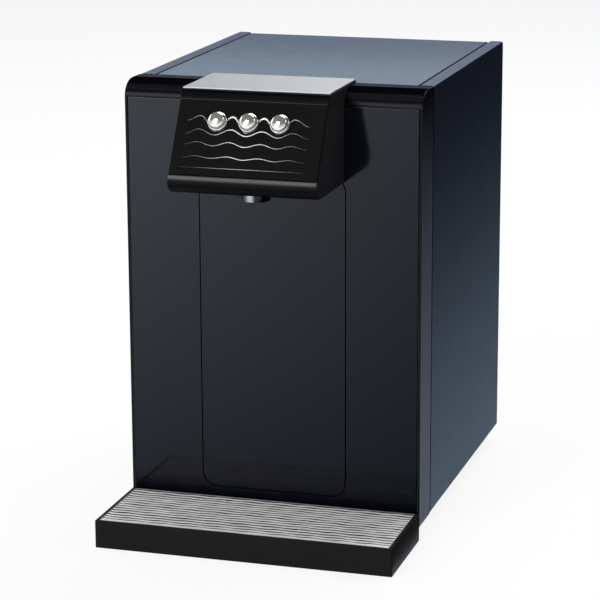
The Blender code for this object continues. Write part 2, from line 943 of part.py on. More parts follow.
tray_front = front_y - tray_reach
tray_back = front_y - fit_gap
drip_tray = block("drip_tray", (-half_width, tray_front, 0), (half_width, tray_back, tray_height),
                  matt_black)
soften(drip_tray, tray_edge)
grille_seat = tray_height - grille_sheet - fit_gap
tray_pocket = block(
    "tray_pocket",
    (-half_width + tray_wall, tray_front + tray_wall, grille_seat),
    (half_width - tray_wall, tray_back - tray_wall, tray_height + overrun),
    helper=True,
)
tub = tray_wall + tray_ledge
tray_tub = block(
    "tray_tub",
    (-half_width + tub, tray_front + tub, tray_floor),
    (half_width - tub, tray_back - tub, tray_height + overrun),
    helper=True,
)
tongue = block(
    "tongue",
    (-tongue_half, tray_back - tray_wall, tongue_low),
    (tongue_half, front_y + tongue_length, tongue_high),
    helper=True,
)
cut(drip_tray, tray_pocket, tray_tub)
join(drip_tray, tongue)

# Tray grille: a slotted plate on the ledge of the tray, with two ribs under it
grille_rim = 0.0030
grille_pitch = 0.0057
grille_slot = 0.0027
grille_rib = 0.0020
grille_rib_depth = 0.0040
grille_ribs = 2

grille_half = half_width - tray_wall - fit_gap
grille_front = tray_front + tray_wall + fit_gap
grille_back = tray_back - tray_wall - fit_gap
slot_field = grille_back - grille_front - 2 * grille_rim
grille_rows = int(slot_field / grille_pitch)
first_row = (grille_front + grille_back) / 2 - (grille_rows - 1) * grille_pitch / 2
grille_loops = [rectangle(-grille_half, grille_half, grille_front, grille_back)]
for row in range(grille_rows):
    row_y = first_row + row * grille_pitch
    grille_loops.append(rectangle(
        -grille_half + grille_rim, grille_half - grille_rim,
        row_y - grille_slot / 2, row_y + grille_slot / 2,
    ))
tray_grille = flat_outline(
    "tray_grille", grille_loops, grille_sheet, stainless,
    (0, 0, tray_height - grille_sheet / 2), (0, 0, 0),
)
for rib in range(grille_ribs):
    rib_x = ((rib + 1) / (grille_ribs + 1) * 2 - 1) * grille_half
    join(tray_grille, block(
        "grille_rib",
        (rib_x - grille_rib / 2, grille_front + tub, tray_height - grille_sheet - grille_rib_depth),
        (rib_x + grille_rib / 2, grille_back - tub, tray_height - grille_sheet / 2),
        helper=True,
    ))

# Inner frame: a folded bridge on the pan whose top is the shelf for the two tanks
frame_front = 0.032
frame_bend = 0.002
shelf_margin = 0.005
tank_headroom = 0.0318
cold_tank_height = 0.1550
jacket_wall = 0.0100
jacket_floor = 0.0120
jacket_gap = 0.0100
jacket_side_gap = 0.0080
cold_jacket_share = 0.585

frame_half = pan_half - steel_sheet - fit_gap
frame_foot = pan_floor_top + fit_gap
jackets_room = 2 * frame_half - 2 * jacket_side_gap - jacket_gap
cold_jacket_radius = jackets_room * cold_jacket_share / 2
hot_jacket_radius = jackets_room * (1 - cold_jacket_share) / 2
frame_depth = 2 * (cold_jacket_radius + shelf_margin)
frame_middle_y = front_y + frame_front + frame_depth / 2
frame_back = frame_middle_y + frame_depth / 2
tank_low = ledge_under - tank_headroom - jacket_wall - fit_gap - cold_tank_height
shelf_top = tank_low - jacket_floor - 2 * fit_gap
flat_outline(
    "inner_frame",
    [bent_sheet(
        [(frame_half, frame_foot), (frame_half, shelf_top),
         (-frame_half, shelf_top), (-frame_half, frame_foot)],
        steel_sheet, frame_bend,
    )],
    frame_depth,
    zinc_steel,
    (0, frame_middle_y, 0),
    upright,
)

# Tanks: stainless vessels in foam jackets, standing on the shelf
tank_wall = 0.0010
tank_neck = 0.0060
tank_neck_bore = 0.0040
tank_neck_height = 0.0080
hot_tank_height = 0.1150
coil_tube = 0.0030
coil_turns = 5
coil_pitch = 0.0110
coil_start_share = 0.28
coil_points_per_turn = 12
tank_sides = 24

tank_y = frame_middle_y
cold_tank_x = -frame_half + jacket_side_gap + cold_jacket_radius
hot_tank_x = frame_half - jacket_side_gap - hot_jacket_radius
cold_jacket_inner = cold_jacket_radius - jacket_wall
hot_jacket_inner = hot_jacket_radius - jacket_wall
chord_share = math.cos(math.pi / coil_points_per_turn)
coil_radius = cold_jacket_inner - 4 * fit_gap - coil_tube / chord_share
cold_tank_radius = coil_radius * chord_share - 2 * fit_gap - coil_tube
hot_tank_radius = hot_jacket_inner - 2 * fit_gap


def tank(name, x, radius, height):
    """A closed vessel with an open neck on top for its probe."""
    return turned(
        name,
        [
            (0, tank_low + tank_wall), (radius - tank_wall, tank_low + tank_wall),
            (radius - tank_wall, tank_low + height - tank_wall),
            (tank_neck_bore, tank_low + height - tank_wall),
            (tank_neck_bore, tank_low + height + tank_neck_height),
            (tank_neck, tank_low + height + tank_neck_height),
            (tank_neck, tank_low + height), (radius, tank_low + height),
            (radius, tank_low), (0, tank_low),
        ],
        stainless,
        (x, tank_y, 0),
        sides=tank_sides,
    )


def jacket(name, x, inner, height):
    """A foam jacket with a floor and a lid, open round the neck of its tank."""
    low = shelf_top + fit_gap
    lid_low = tank_low + height + fit_gap
    return turned(
        name,
        [
            (0, low + jacket_floor), (inner, low + jacket_floor), (inner, lid_low),
            (tank_neck + fit_gap, lid_low), (tank_neck + fit_gap, lid_low + jacket_wall),
            (inner + jacket_wall, lid_low + jacket_wall), (inner + jacket_wall, low), (0, low),
        ],
        white_foam,
        (x, tank_y, 0),
        sides=tank_sides,
    )


tank("cold_tank", cold_tank_x, cold_tank_radius, cold_tank_height)
tank("hot_tank", hot_tank_x, hot_tank_radius, hot_tank_height)
cold_jacket = jacket("cold_jacket", cold_tank_x, cold_jacket_inner, cold_tank_height)
hot_jacket = jacket("hot_jacket", hot_tank_x, hot_jacket_inner, hot_tank_height)

coil_low = tank_low + cold_tank_height * coil_start_share
coil_steps = coil_turns * coil_points_per_turn
coil_points = []
for i in range(coil_steps + 1):
    angle = 2 * math.pi * i / coil_points_per_turn + math.pi / 2
    coil_points.append(Vector((
        cold_tank_x + coil_radius * math.cos(angle),
        tank_y + coil_radius * math.sin(angle),
        coil_low + coil_pitch * i / coil_points_per_turn,
    )))
tube("evaporator_coil", coil_points, coil_tube, copper, detail=1)

# Valve block on the pan: one inlet and three valves, for cold, hot and room-temperature water
block_half_x = 0.0560
block_front = 0.0100
block_depth = 0.0480
block_height = 0.0200
valve_pitch = 0.0360
valve_radius = 0.0120
valve_height = 0.0360
valve_sleeve = 0.0060
valve_sleeve_height = 0.0060
barb_inset = 0.0080
barb_height = 0.0080
valve_inset = 0.0320

block_low = pan_floor_top + fit_gap
block_top = block_low + block_height
barb_y = front_y + block_front + barb_inset
barb_top = block_top + barb_height
valve_block = block(
    "valve_block",
    (-block_half_x, front_y + block_front, block_low),
    (block_half_x, front_y + block_front + block_depth, block_top),
    natural_plastic,
)
for step, name in ((-1, "cold_valve"), (0, "room_valve"), (1, "hot_valve")):
    join(valve_block, rod(
        "valve_barb", hose_barb_radius,
        (step * valve_pitch, barb_y, block_low + block_height / 2),
        (step * valve_pitch, barb_y, barb_top), helper=True, sides=10,
    ))
    valve_low = block_top + fit_gap
    turned(
        name,
        [(0, valve_low + valve_height), (valve_sleeve, valve_low + valve_height),
         (valve_sleeve, valve_low + valve_height - valve_sleeve_height),
         (valve_radius, valve_low + valve_height - valve_sleeve_height),
         (valve_radius, valve_low + valve_sleeve_height),
         (valve_sleeve, valve_low + valve_sleeve_height), (valve_sleeve, valve_low), (0, valve_low)],
        matt_black,
        (step * valve_pitch, front_y + block_front + valve_inset, 0),
        sides=16,
    )
block_inlet_x = -block_half_x - barb_height
block_inlet_y = front_y + block_front + block_depth - barb_inset
join(valve_block, rod(
    "inlet_barb", hose_barb_radius,
    (-block_half_x + barb_height, block_inlet_y, block_low + block_height / 2),
    (block_inlet_x, block_inlet_y, block_low + block_height / 2), helper=True, sides=10,
))

# Hoses: each runs smoothly from one barb to the next, straight out of both
feed_rise = 0.0300
draw_drop = 0.0200
hose_straight = 0.0150
hose_bend = 0.0120
hose_hole_gap = 0.0008


def hose(name, stations):
    """A hose along a smooth route through its stations."""
    return tube(name, smooth_route(stations), hose_radius, natural_plastic, detail=1)


def jacket_hole(shell, x, inner, z):
    """The hole in the front of a jacket that a hose passes through."""
    cut(shell, rod(
        "hose_hole", hose_radius + hose_hole_gap,
        (x, tank_y - inner - jacket_wall - overrun, z), (x, tank_y - inner / 2, z),
        helper=True, sides=12,
    ))


outlet_back = nozzle_y + outlet_half_y + outlet_barb_length + fit_gap
panel_back = front_y + front_sheet
feed_z = tank_low + feed_rise

for name, shell, inner, radius, tank_x, tank_height, step in (
    ("cold", cold_jacket, cold_jacket_inner, cold_tank_radius, cold_tank_x, cold_tank_height, -1),
    ("hot", hot_jacket, hot_jacket_inner, hot_tank_radius, hot_tank_x, hot_tank_height, 1),
):
    draw_z = tank_low + tank_height - draw_drop
    wall_y = tank_y - radius - fit_gap
    jacket_hole(shell, tank_x, inner, feed_z)
    jacket_hole(shell, tank_x, inner, draw_z)
    valve_x = step * valve_pitch
    barb_x = step * outlet_barb_pitch
    hose(name + "_feed_hose", [
        (valve_x, barb_y, barb_top + fit_gap),
        (valve_x, barb_y, barb_top + hose_straight),
        (tank_x, barb_y, feed_z - hose_bend - hose_straight),
        (tank_x, barb_y, feed_z),
        (tank_x, barb_y + hose_bend, feed_z),
        (tank_x, wall_y, feed_z),
    ])
    hose(name + "_hose", [
        (tank_x, wall_y, draw_z),
        (tank_x, barb_y + hose_bend, draw_z),
        (tank_x, barb_y, draw_z),
        (barb_x, barb_y, outlet_barb_z),
        (barb_x, panel_back, outlet_barb_z),
        (barb_x, outlet_back, outlet_barb_z),
    ])

hose("room_hose", [
    (0, barb_y, barb_top + fit_gap),
    (0, barb_y, barb_top + hose_straight),
    (0, barb_y, outlet_barb_z - hose_bend),
    (0, barb_y, outlet_barb_z),
    (0, panel_back, outlet_barb_z),
    (0, outlet_back, outlet_barb_z),
])

# Condenser: a finned core against the rear panel, blown through by a fan
condenser_side = 0.0160
condenser_low = 0.1060
condenser_half = 0.0600
condenser_height = 0.1200
condenser_depth = 0.0240
condenser_web = 0.0040
fin_count = 14
fin_sheet = 0.0020

condenser_x = half_width - rear_flange - condenser_side - condenser_half
condenser_back = rear_sheet_front - fit_gap
condenser_front = condenser_back - condenser_depth
fin_pitch = (2 * condenser_half - fin_sheet) / (fin_count - 1)
web_front = (condenser_front + condenser_back - condenser_web) / 2
front_edge = []
back_edge = []
for i in range(fin_count):
    fin_x = condenser_x - condenser_half + i * fin_pitch
    front_edge += [(fin_x, condenser_front), (fin_x + fin_sheet, condenser_front)]
    back_edge += [(fin_x, condenser_back), (fin_x + fin_sheet, condenser_back)]
    if i < fin_count - 1:
        front_edge += [(fin_x + fin_sheet, web_front), (fin_x + fin_pitch, web_front)]
        back_edge += [(fin_x + fin_sheet, web_front + condenser_web),
                      (fin_x + fin_pitch, web_front + condenser_web)]
flat_outline(
    "condenser", [front_edge + back_edge[::-1]], condenser_height, zinc_steel,
    (0, 0, condenser_low + condenser_height / 2), (0, 0, 0),
)

fan_size = 0.1100
fan_depth = 0.0220
fan_bore = 0.0520
fan_bore_sides = 24
fan_strut = 0.0050
fan_hub_radius = 0.0180
fan_blades = 7
blade_gap = 0.0020
blade_sheet = 0.0016
blade_chord = 0.0150
blade_twist = math.radians(38)
motor_depth = 0.0080
spindle_radius = 0.0020
spindle_reach = 0.0060

fan_back = condenser_front - fit_gap
fan_front = fan_back - fan_depth
fan_z = condenser_low + condenser_height / 2
fan_at = (condenser_x, (fan_front + fan_back) / 2, fan_z)
bore_loop = arc((0, 0), fan_bore, fan_bore, 0, 360, fan_bore_sides)[:-1]
fan_frame = flat_outline(
    "fan_frame",
    [rectangle(-fan_size / 2, fan_size / 2, -fan_size / 2, fan_size / 2), bore_loop],
    fan_depth,
    matt_black,
    fan_at,
    upright,
)
for half_x, half_z in ((fan_bore + fan_strut, fan_strut / 2), (fan_strut / 2, fan_bore + fan_strut)):
    join(fan_frame, block(
        "fan_strut",
        (condenser_x - half_x, fan_front, fan_z - half_z),
        (condenser_x + half_x, fan_front + fan_strut, fan_z + half_z),
        helper=True,
    ))
motor_back = fan_front + motor_depth
join(fan_frame, rod(
    "fan_motor", fan_hub_radius, (condenser_x, fan_front, fan_z), (condenser_x, motor_back, fan_z),
    helper=True, sides=16,
))
join(fan_frame, rod(
    "fan_spindle", spindle_radius, (condenser_x, fan_front + fan_strut, fan_z),
    (condenser_x, motor_back + spindle_reach, fan_z), helper=True, sides=12,
))
rotor_front = motor_back + fit_gap
rotor_back = fan_back - blade_gap
fan_rotor = rod(
    "fan_rotor", fan_hub_radius, (condenser_x, rotor_front, fan_z),
    (condenser_x, rotor_back, fan_z), matt_black, sides=16,
)
blade_end = fan_bore - blade_gap
blade_middle = (fan_hub_radius / 2 + blade_end) / 2
for i in range(fan_blades):
    angle = 2 * math.pi * i / fan_blades
    blade = block(
        "fan_blade",
        (-(blade_end - fan_hub_radius / 2) / 2, -blade_sheet / 2, -blade_chord / 2),
        ((blade_end - fan_hub_radius / 2) / 2, blade_sheet / 2, blade_chord / 2),
        helper=True,
    )
    blade.matrix_world = (
        Matrix.Translation((condenser_x, (rotor_front + rotor_back) / 2, fan_z))
        @ Matrix.Rotation(angle, 4, "Y")
        @ Matrix.Translation((blade_middle, 0, 0))
        @ Matrix.Rotation(blade_twist, 4, "X")
    )
    join(fan_rotor, blade)
cut(fan_rotor, rod(
    "rotor_bore", spindle_radius + fit_gap, (condenser_x, rotor_front - overrun, fan_z),
    (condenser_x, motor_back + spindle_reach + fit_gap, fan_z), helper=True, sides=12,
))

# Compressor on the pan, behind the frame, with its discharge line to the condenser
compressor_side_gap = 0.0177
compressor_height = 0.1250
compressor_dome = 0.0300
compressor_plate = 0.0030
compressor_plate_rim = 0.0020
compressor_lift = 0.0080
grommet_radius = 0.0070
grommet_inset = 0.0100
dome_rings = 4
frame_gap = 0.0020

room_half = (fan_front - frame_back) / 2 - frame_gap
room_y = (fan_front + frame_back) / 2
compressor_plate_half = room_half
compressor_radius = compressor_plate_half - compressor_plate_rim
compressor_x = -frame_half + compressor_side_gap + compressor_plate_half
compressor_y = room_y
compressor_plate_low = pan_floor_top + fit_gap + compressor_lift
shell_low = compressor_plate_low + compressor_plate / 2
compressor_top = compressor_plate_low + compressor_height
compressor = turned(
    "compressor",
    [
        *arc((0, compressor_top - compressor_dome), compressor_radius, compressor_dome, 90, 0,
             dome_rings),
        (compressor_radius, shell_low), (0, shell_low),
    ],
    matt_black,
    (compressor_x, compressor_y, 0),
    sides=20,
)
join(compressor, block(
    "compressor_plate",
    (compressor_x - compressor_plate_half, compressor_y - compressor_plate_half,
     compressor_plate_low),
    (compressor_x + compressor_plate_half, compressor_y + compressor_plate_half,
     compressor_plate_low + compressor_plate),
    helper=True,
))
for side in (-1, 1):
    for end in (-1, 1):
        grommet_x = compressor_x + side * (compressor_plate_half - grommet_inset)
        grommet_y = compressor_y + end * (compressor_plate_half - grommet_inset)
        join(compressor, rod(
            "grommet", grommet_radius, (grommet_x, grommet_y, pan_floor_top + fit_gap),
            (grommet_x, grommet_y, shell_low), helper=True, sides=10,
        ))

line_radius = 0.0030
line_rise = 0.0250
line_entry = 0.0200

line_z = compressor_top + line_rise
condenser_left = condenser_x - condenser_half
tube("discharge_line", smooth_route([
    (compressor_x, compressor_y, compressor_top + fit_gap),
    (compressor_x, compressor_y, line_z),
    (condenser_left - line_entry, compressor_y, line_z),
    (condenser_left - line_entry, web_front, line_z),
    (condenser_left - fit_gap, web_front, line_z),
]), line_radius, copper, detail=1)

# Connections in the service panel: water inlet, drain with its cap, power inlet and two switches
fitting_z_share = 0.45
fitting_radius = 0.0090
fitting_collar = 0.0040
fitting_neck = 0.0060
fitting_inside = 0.0120
inlet_side = 0.0250
inlet_reach = 0.0180
fitting_bore = 0.0019
inlet_to_drain = 0.0400
drain_reach = 0.0130
cap_radius = 0.0095
cap_wall = 0.0020
cap_end = 0.0030
cap_end_share = 0.94

inlet_x = -recess_half + inlet_side
drain_x = inlet_x + inlet_to_drain
fitting_z = recess_low + recess_height * fitting_z_share
wall_inside = recess_floor_y - steel_sheet
collar_face = recess_floor_y + fit_gap + fitting_collar
faces_back = (-math.pi / 2, 0, 0)


def fitting(name, x, reach, bore):
    """A bulkhead fitting through the service panel: collar and spigot outside, barb inside."""
    cut(service_panel, rod(
        "fitting_hole", fitting_neck + fit_gap, (x, wall_inside - overrun, fitting_z),
        (x, recess_floor_y + overrun, fitting_z), helper=True, sides=16,
    ))
    return turned(
        name,
        closed_ring([
            (bore, fit_gap + fitting_collar + reach), (fitting_neck, fit_gap + fitting_collar + reach),
            (fitting_neck, fit_gap + fitting_collar), (fitting_radius, fit_gap + fitting_collar),
            (fitting_radius, fit_gap), (fitting_neck, fit_gap),
            (fitting_neck, -steel_sheet - fitting_inside / 2),
            (hose_barb_radius, -steel_sheet - fitting_inside / 2),
            (hose_barb_radius, -steel_sheet - fitting_inside), (bore, -steel_sheet - fitting_inside),
        ]),
        zinc_steel,
        (x, recess_floor_y, fitting_z),
        faces_back,
        sides=16,
    )


fitting("inlet_fitting", inlet_x, inlet_reach - fitting_collar, fitting_bore)
fitting("drain_fitting", drain_x, drain_reach - fitting_collar, fitting_bore)
cap_low = collar_face + fit_gap
cap_depth_outside = drain_reach - fitting_collar + fit_gap + cap_end
turned(
    "drain_cap",
    [
        (0, cap_depth_outside), (cap_radius * cap_end_share, cap_depth_outside),
        (cap_radius, cap_depth_outside - cap_wall / 2), (cap_radius, 0),
        (fitting_neck + fit_gap, 0), (fitting_neck + fit_gap, cap_depth_outside - cap_end),
        (0, cap_depth_outside - cap_end),
    ],
    matt_black,
    (drain_x, cap_low, fitting_z),
    faces_back,
    sides=16,
)

inlet_hose_back = wall_inside - fitting_inside - fit_gap
hose("inlet_hose", [
    (inlet_x, inlet_hose_back, fitting_z),
    (inlet_x, inlet_hose_back - hose_bend / 2, fitting_z),
    (-frame_half + steel_sheet + frame_bend + 2 * hose_radius, inlet_hose_back - hose_bend,
     block_low + block_height / 2),
    (-frame_half + steel_sheet + frame_bend + 2 * hose_radius, block_inlet_y + hose_bend,
     block_low + block_height / 2),
    (-frame_half + steel_sheet + frame_bend + 2 * hose_radius, block_inlet_y,
     block_low + block_height / 2),
    (block_inlet_x - fit_gap, block_inlet_y, block_low + block_height / 2),
])

# Power inlet: a three-pin appliance socket with a flange
socket_side = 0.0800
socket_half_x = 0.0135
socket_half_z = 0.0100
socket_wall = 0.0020
socket_flange = 0.0025
socket_flange_sheet = 0.0020
socket_depth = 0.0220
socket_floor = 0.0050
pin_half_width = 0.0010
pin_half_height = 0.0020
pin_length = 0.0110
pin_spread = 0.0070
pin_drop = 0.0020
earth_rise = 0.0020

socket_x = recess_half - socket_side
socket_face = recess_floor_y + fit_gap + socket_flange_sheet
socket_back = recess_floor_y - socket_depth
power_inlet = block(
    "power_inlet",
    (socket_x - socket_half_x, socket_back, fitting_z - socket_half_z),
    (socket_x + socket_half_x, socket_face, fitting_z + socket_half_z),
    matt_black,
)
join(power_inlet, block(
    "socket_flange",
    (socket_x - socket_half_x - socket_flange, recess_floor_y + fit_gap,
     fitting_z - socket_half_z - socket_flange),
    (socket_x + socket_half_x + socket_flange, socket_face,
     fitting_z + socket_half_z + socket_flange),
    helper=True,
))
socket_inside = socket_back + socket_floor
cut(power_inlet, block(
    "socket_hollow",
    (socket_x - socket_half_x + socket_wall, socket_inside, fitting_z - socket_half_z + socket_wall),
    (socket_x + socket_half_x - socket_wall, socket_face + overrun,
     fitting_z + socket_half_z - socket_wall),
    helper=True,
))
for pin_x, pin_z in ((-pin_spread, -pin_drop), (0, earth_rise), (pin_spread, -pin_drop)):
    join(power_inlet, block(
        "socket_pin",
        (socket_x + pin_x - pin_half_width, socket_back + socket_floor / 2,
         fitting_z + pin_z - pin_half_height),
        (socket_x + pin_x + pin_half_width, socket_inside + pin_length,
         fitting_z + pin_z + pin_half_height),
        helper=True,
    ))
cut(service_panel, block(
    "socket_hole",
    (socket_x - socket_half_x - fit_gap, wall_inside - overrun, fitting_z - socket_half_z - fit_gap),
    (socket_x + socket_half_x + fit_gap, recess_floor_y + overrun,
     fitting_z + socket_half_z + fit_gap),
    helper=True,
))

# Rocker switches: one for the heater and one for the chiller, side by side in a frame
switch_side = 0.0320
rocker_half = 0.0055
rocker_radius = 0.0095
rocker_tilt = math.radians(8)
rocker_pitch = 0.0150
rocker_sink = 0.0030
rocker_root = 0.0040
rocker_steps = 3
rocker_end = 26
switch_wall = 0.0015
switch_depth = 0.0150
switch_flange = 0.0020
trunnion_radius = 0.0010
trunnion_reach = 0.0008

switch_x = recess_half - switch_side
switch_half_x = rocker_pitch / 2 + rocker_half + fit_gap + switch_wall
switch_half_z = rocker_radius + fit_gap + switch_wall
switch_frame = block(
    "switch_frame",
    (switch_x - switch_half_x, recess_floor_y - switch_depth, fitting_z - switch_half_z),
    (switch_x + switch_half_x, socket_face, fitting_z + switch_half_z),
    matt_black,
)
join(switch_frame, block(
    "switch_flange",
    (switch_x - switch_half_x - switch_flange, recess_floor_y + fit_gap,
     fitting_z - switch_half_z - switch_flange),
    (switch_x + switch_half_x + switch_flange, socket_face,
     fitting_z + switch_half_z + switch_flange),
    helper=True,
))
cut(service_panel, block(
    "switch_hole",
    (switch_x - switch_half_x - fit_gap, wall_inside - overrun, fitting_z - switch_half_z - fit_gap),
    (switch_x + switch_half_x + fit_gap, recess_floor_y + overrun,
     fitting_z + switch_half_z + fit_gap),
    helper=True,
))
pivot_y = socket_face - rocker_sink
for name, step in (("heat_rocker", -1), ("chill_rocker", 1)):
    rocker_x = switch_x + step * rocker_pitch / 2
    cut(switch_frame, block(
        "rocker_window",
        (rocker_x - rocker_half - fit_gap, recess_floor_y - switch_depth + switch_wall,
         fitting_z - rocker_radius - fit_gap),
        (rocker_x + rocker_half + fit_gap, socket_face + overrun,
         fitting_z + rocker_radius + fit_gap),
        helper=True,
    ))
    cut(switch_frame, rod(
        "trunnion_hole", trunnion_radius + fit_gap,
        (rocker_x - rocker_half - trunnion_reach - 2 * fit_gap, pivot_y, fitting_z),
        (rocker_x + rocker_half + trunnion_reach + 2 * fit_gap, pivot_y, fitting_z),
        helper=True, sides=12,
    ))
    outline = [
        *arc((0, 0), rocker_radius, rocker_radius, 180 + rocker_end, 180 - rocker_end, rocker_steps),
        (0, rocker_sink),
        *arc((0, 0), rocker_radius, rocker_radius, rocker_end, -rocker_end, rocker_steps),
        (0, -rocker_root),
    ]
    rocker = flat_outline(
        name, [outline], 2 * rocker_half, matt_black, (0, 0, 0), (0, 0, 0)
    )
    rocker.matrix_world = (
        Matrix.Translation((rocker_x, pivot_y, fitting_z))
        @ Matrix.Rotation(rocker_tilt, 4, "X")
        @ Matrix.Rotation(math.pi / 2, 4, "Y")
    )
    join(rocker, rod(
        "trunnion", trunnion_radius,
        (rocker_x - rocker_half - trunnion_reach, pivot_y, fitting_z),
        (rocker_x + rocker_half + trunnion_reach, pivot_y, fitting_z), helper=True, sides=12,
    ))

# Power board on posts from the right side panel, above the pan
power_x_inset = 0.0080
power_end_gap = 0.0070
power_half_z = 0.0330
power_half_y = room_half - power_end_gap
power_y = room_y
power_z = pan_floor_low + pan_lip + fit_gap + power_half_z
power_face = half_width - steel_sheet - power_x_inset
transformer_half = 0.0150
transformer_height = 0.0220
relay_half = 0.0080
relay_height = 0.0140
power_board = block(
    "power_board",
    (power_face - board_sheet, power_y - power_half_y, power_z - power_half_z),
    (power_face, power_y + power_half_y, power_z + power_half_z),
    board_green,
)
for name, y, z, half, height in (
    ("transformer", -power_half_y / 2, -power_half_z / 2, transformer_half, transformer_height),
    ("relay", power_half_y / 2, power_half_z / 2, relay_half, relay_height),
    ("relay", -power_half_y / 2, power_half_z / 2, relay_half, relay_height),
):
    join(power_board, block(
        name,
        (power_face - board_sheet - height, power_y + y - half, power_z + z - half),
        (power_face - board_sheet / 2, power_y + y + half, power_z + z + half),
        helper=True,
    ))
for side in (-1, 1):
    for level in (-1, 1):
        post_y = power_y + side * (power_half_y - post_inset)
        post_z = power_z + level * (power_half_z - post_inset)
        join(power_board, rod(
            "power_post", post_radius, (power_face - board_sheet / 2, post_y, post_z),
            (half_width - steel_sheet - fit_gap, post_y, post_z), helper=True, sides=10,
        ))
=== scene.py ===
import math

import bpy
from mathutils import Matrix, Vector


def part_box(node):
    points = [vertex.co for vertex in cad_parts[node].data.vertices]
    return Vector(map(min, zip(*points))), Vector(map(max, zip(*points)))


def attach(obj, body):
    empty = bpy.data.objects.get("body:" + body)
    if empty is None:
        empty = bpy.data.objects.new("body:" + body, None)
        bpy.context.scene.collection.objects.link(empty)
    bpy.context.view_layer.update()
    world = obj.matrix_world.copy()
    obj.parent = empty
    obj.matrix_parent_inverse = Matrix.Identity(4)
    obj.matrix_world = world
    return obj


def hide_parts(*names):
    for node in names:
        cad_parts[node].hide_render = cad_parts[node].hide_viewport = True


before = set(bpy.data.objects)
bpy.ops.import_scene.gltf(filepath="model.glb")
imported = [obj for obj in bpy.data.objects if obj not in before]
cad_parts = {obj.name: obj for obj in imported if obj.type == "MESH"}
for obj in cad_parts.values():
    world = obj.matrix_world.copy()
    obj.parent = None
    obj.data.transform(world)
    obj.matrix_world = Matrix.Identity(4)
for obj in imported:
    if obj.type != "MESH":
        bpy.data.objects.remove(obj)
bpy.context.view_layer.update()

# Side panels: 1.2 mm sheet steel, folded over at the top into a flange and a step that carries the
# top sheet, and powder coated dark blue-grey. Each is screwed to the rear sheet.
side_edge = 0.0004
# The side walls are painted dark blue near the top and paler towards the bottom: painted shade
# above, painted reflection below.
side_painted_shade = (0.0095, 0.0125, 0.0215, 1)
side_painted_reflection = (0.098, 0.130, 0.174, 1)
side_painted_shade_height = 0.38
side_fade_rate, side_fade_power = 2.9, 1.6
# The upward faces are painted a lighter blue than the walls, a painted reflection, and lighter
# still near the front: painted light.
flange_painted_light = (0.052, 0.072, 0.125, 1)
flange_painted_highlight = (0.072, 0.098, 0.150, 1)
flange_fade = 0.25
# A dark band along the joints: painted shadow of the narrow gap.
joint_painted_shadow = (0.0015, 0.0018, 0.0028, 1)
joint_line = 0.0002
joint_shade = 0.0015
paint_peel = 0.0011
peel_depth = 0.00002
weld_reach = 0.000002
flat_fold = math.radians(0.5)
eased_fold = math.radians(30)
sharp_fold = math.radians(35)


class Signal:
    """A number or colour on its way through a finish, which sums take like a plain number."""

    def __init__(self, finish, socket):
        self.finish = finish
        self.socket = socket

    def __add__(self, other):
        return self.finish.maths("ADD", self, other)

    def __mul__(self, other):
        return self.finish.maths("MULTIPLY", self, other)

    def __pow__(self, other):
        return self.finish.maths("POWER", self, other)

    def __rsub__(self, other):
        return self.finish.maths("SUBTRACT", other, self)

    def __abs__(self):
        return self.finish.node("ShaderNodeMath", {"operation": "ABSOLUTE"}, {0: self})

    def between(self, low, high):
        """0 where the value is low, 1 where it is high, and smooth in between."""
        sockets = {"Value": self, "From Min": low, "From Max": high}
        return self.finish.node("ShaderNodeMapRange", {"interpolation_type": "SMOOTHSTEP"}, sockets)


class Finish:
    """A material in the making: its shader, and the values that feed it."""

    def __init__(self, name, **fixed):
        self.material = bpy.data.materials.new(name)
        self.material.use_nodes = True
        self.tree = self.material.node_tree
        self.shader = self.tree.nodes["Principled BSDF"]
        for socket, value in fixed.items():
            self.shader.inputs[socket.replace("_", " ")].default_value = value

    def feed(self, socket, value):
        """Links a signal to a socket, or sets a plain value on it."""
        if isinstance(value, Signal):
            self.tree.links.new(value.socket, socket)
        else:
            socket.default_value = value

    def node(self, kind, settings, sockets, output=0):
        """A node with its settings made first and its sockets then fed."""
        made = self.tree.nodes.new(kind)
        for name, value in settings.items():
            setattr(made, name, value)
        for key, value in sockets.items():
            self.feed(made.inputs[key], value)
        return Signal(self, made.outputs[output])

    def maths(self, operation, first, second):
        """Two values put together by one operation, each a signal or a plain number."""
        return self.node("ShaderNodeMath", {"operation": operation}, {0: first, 1: second})

    def mixed(self, share, first, second):
        """A colour that goes from the first to the second as the share goes from 0 to 1."""
        sockets = {"Factor": share, 6: first, 7: second}
        return self.node("ShaderNodeMix", {"data_type": "RGBA"}, sockets, 2)

    def place(self, axis):
        """The place on the piece along X, Y or Z, in metres."""
        here = self.node("ShaderNodeTexCoord", {}, {}, "Object")
        return self.node("ShaderNodeSeparateXYZ", {}, {0: here}, axis)

    def facing(self, axis):
        """How far the surface faces along X, Y or Z of the piece, from -1 to 1."""
        outward = self.node("ShaderNodeTexCoord", {}, {}, "Normal")
        return self.node("ShaderNodeSeparateXYZ", {}, {0: outward}, axis)

    def grain(self, size, stretch=(1, 1, 1), detail=2.0):
        """Noise from 0 to 1 with cells of about this size, longer along a stretched axis."""
        here = self.node("ShaderNodeTexCoord", {}, {}, "Object")
        cells = [1 / (size * share) for share in stretch]
        laid = self.node("ShaderNodeMapping", {}, {"Vector": here, "Scale": cells})
        return self.node("ShaderNodeTexNoise", {}, {"Vector": laid, "Scale": 1.0, "Detail": detail})

    def varied(self, size, low, high):
        """A value that drifts between low and high in cells of about this size."""
        return self.grain(size) * (high - low) + low

    def set(self, socket, value):
        """Feeds one socket of the shader."""
        self.feed(self.shader.inputs[socket], value)

    def relief(self, height, depth):
        """Raises the surface by up to this depth where the height signal is 1."""
        sockets = {"Height": height, "Distance": depth, "Strength": 1.0}
        self.set("Normal", self.node("ShaderNodeBump", {}, sockets))

    def patterned(self, pattern, dark, light, smooth, rough):
        """Lets one pattern carry the colour and the roughness together."""
        self.set("Base Color", self.mixed(pattern, dark, light))
        self.set("Roughness", pattern * (rough - smooth) + smooth)


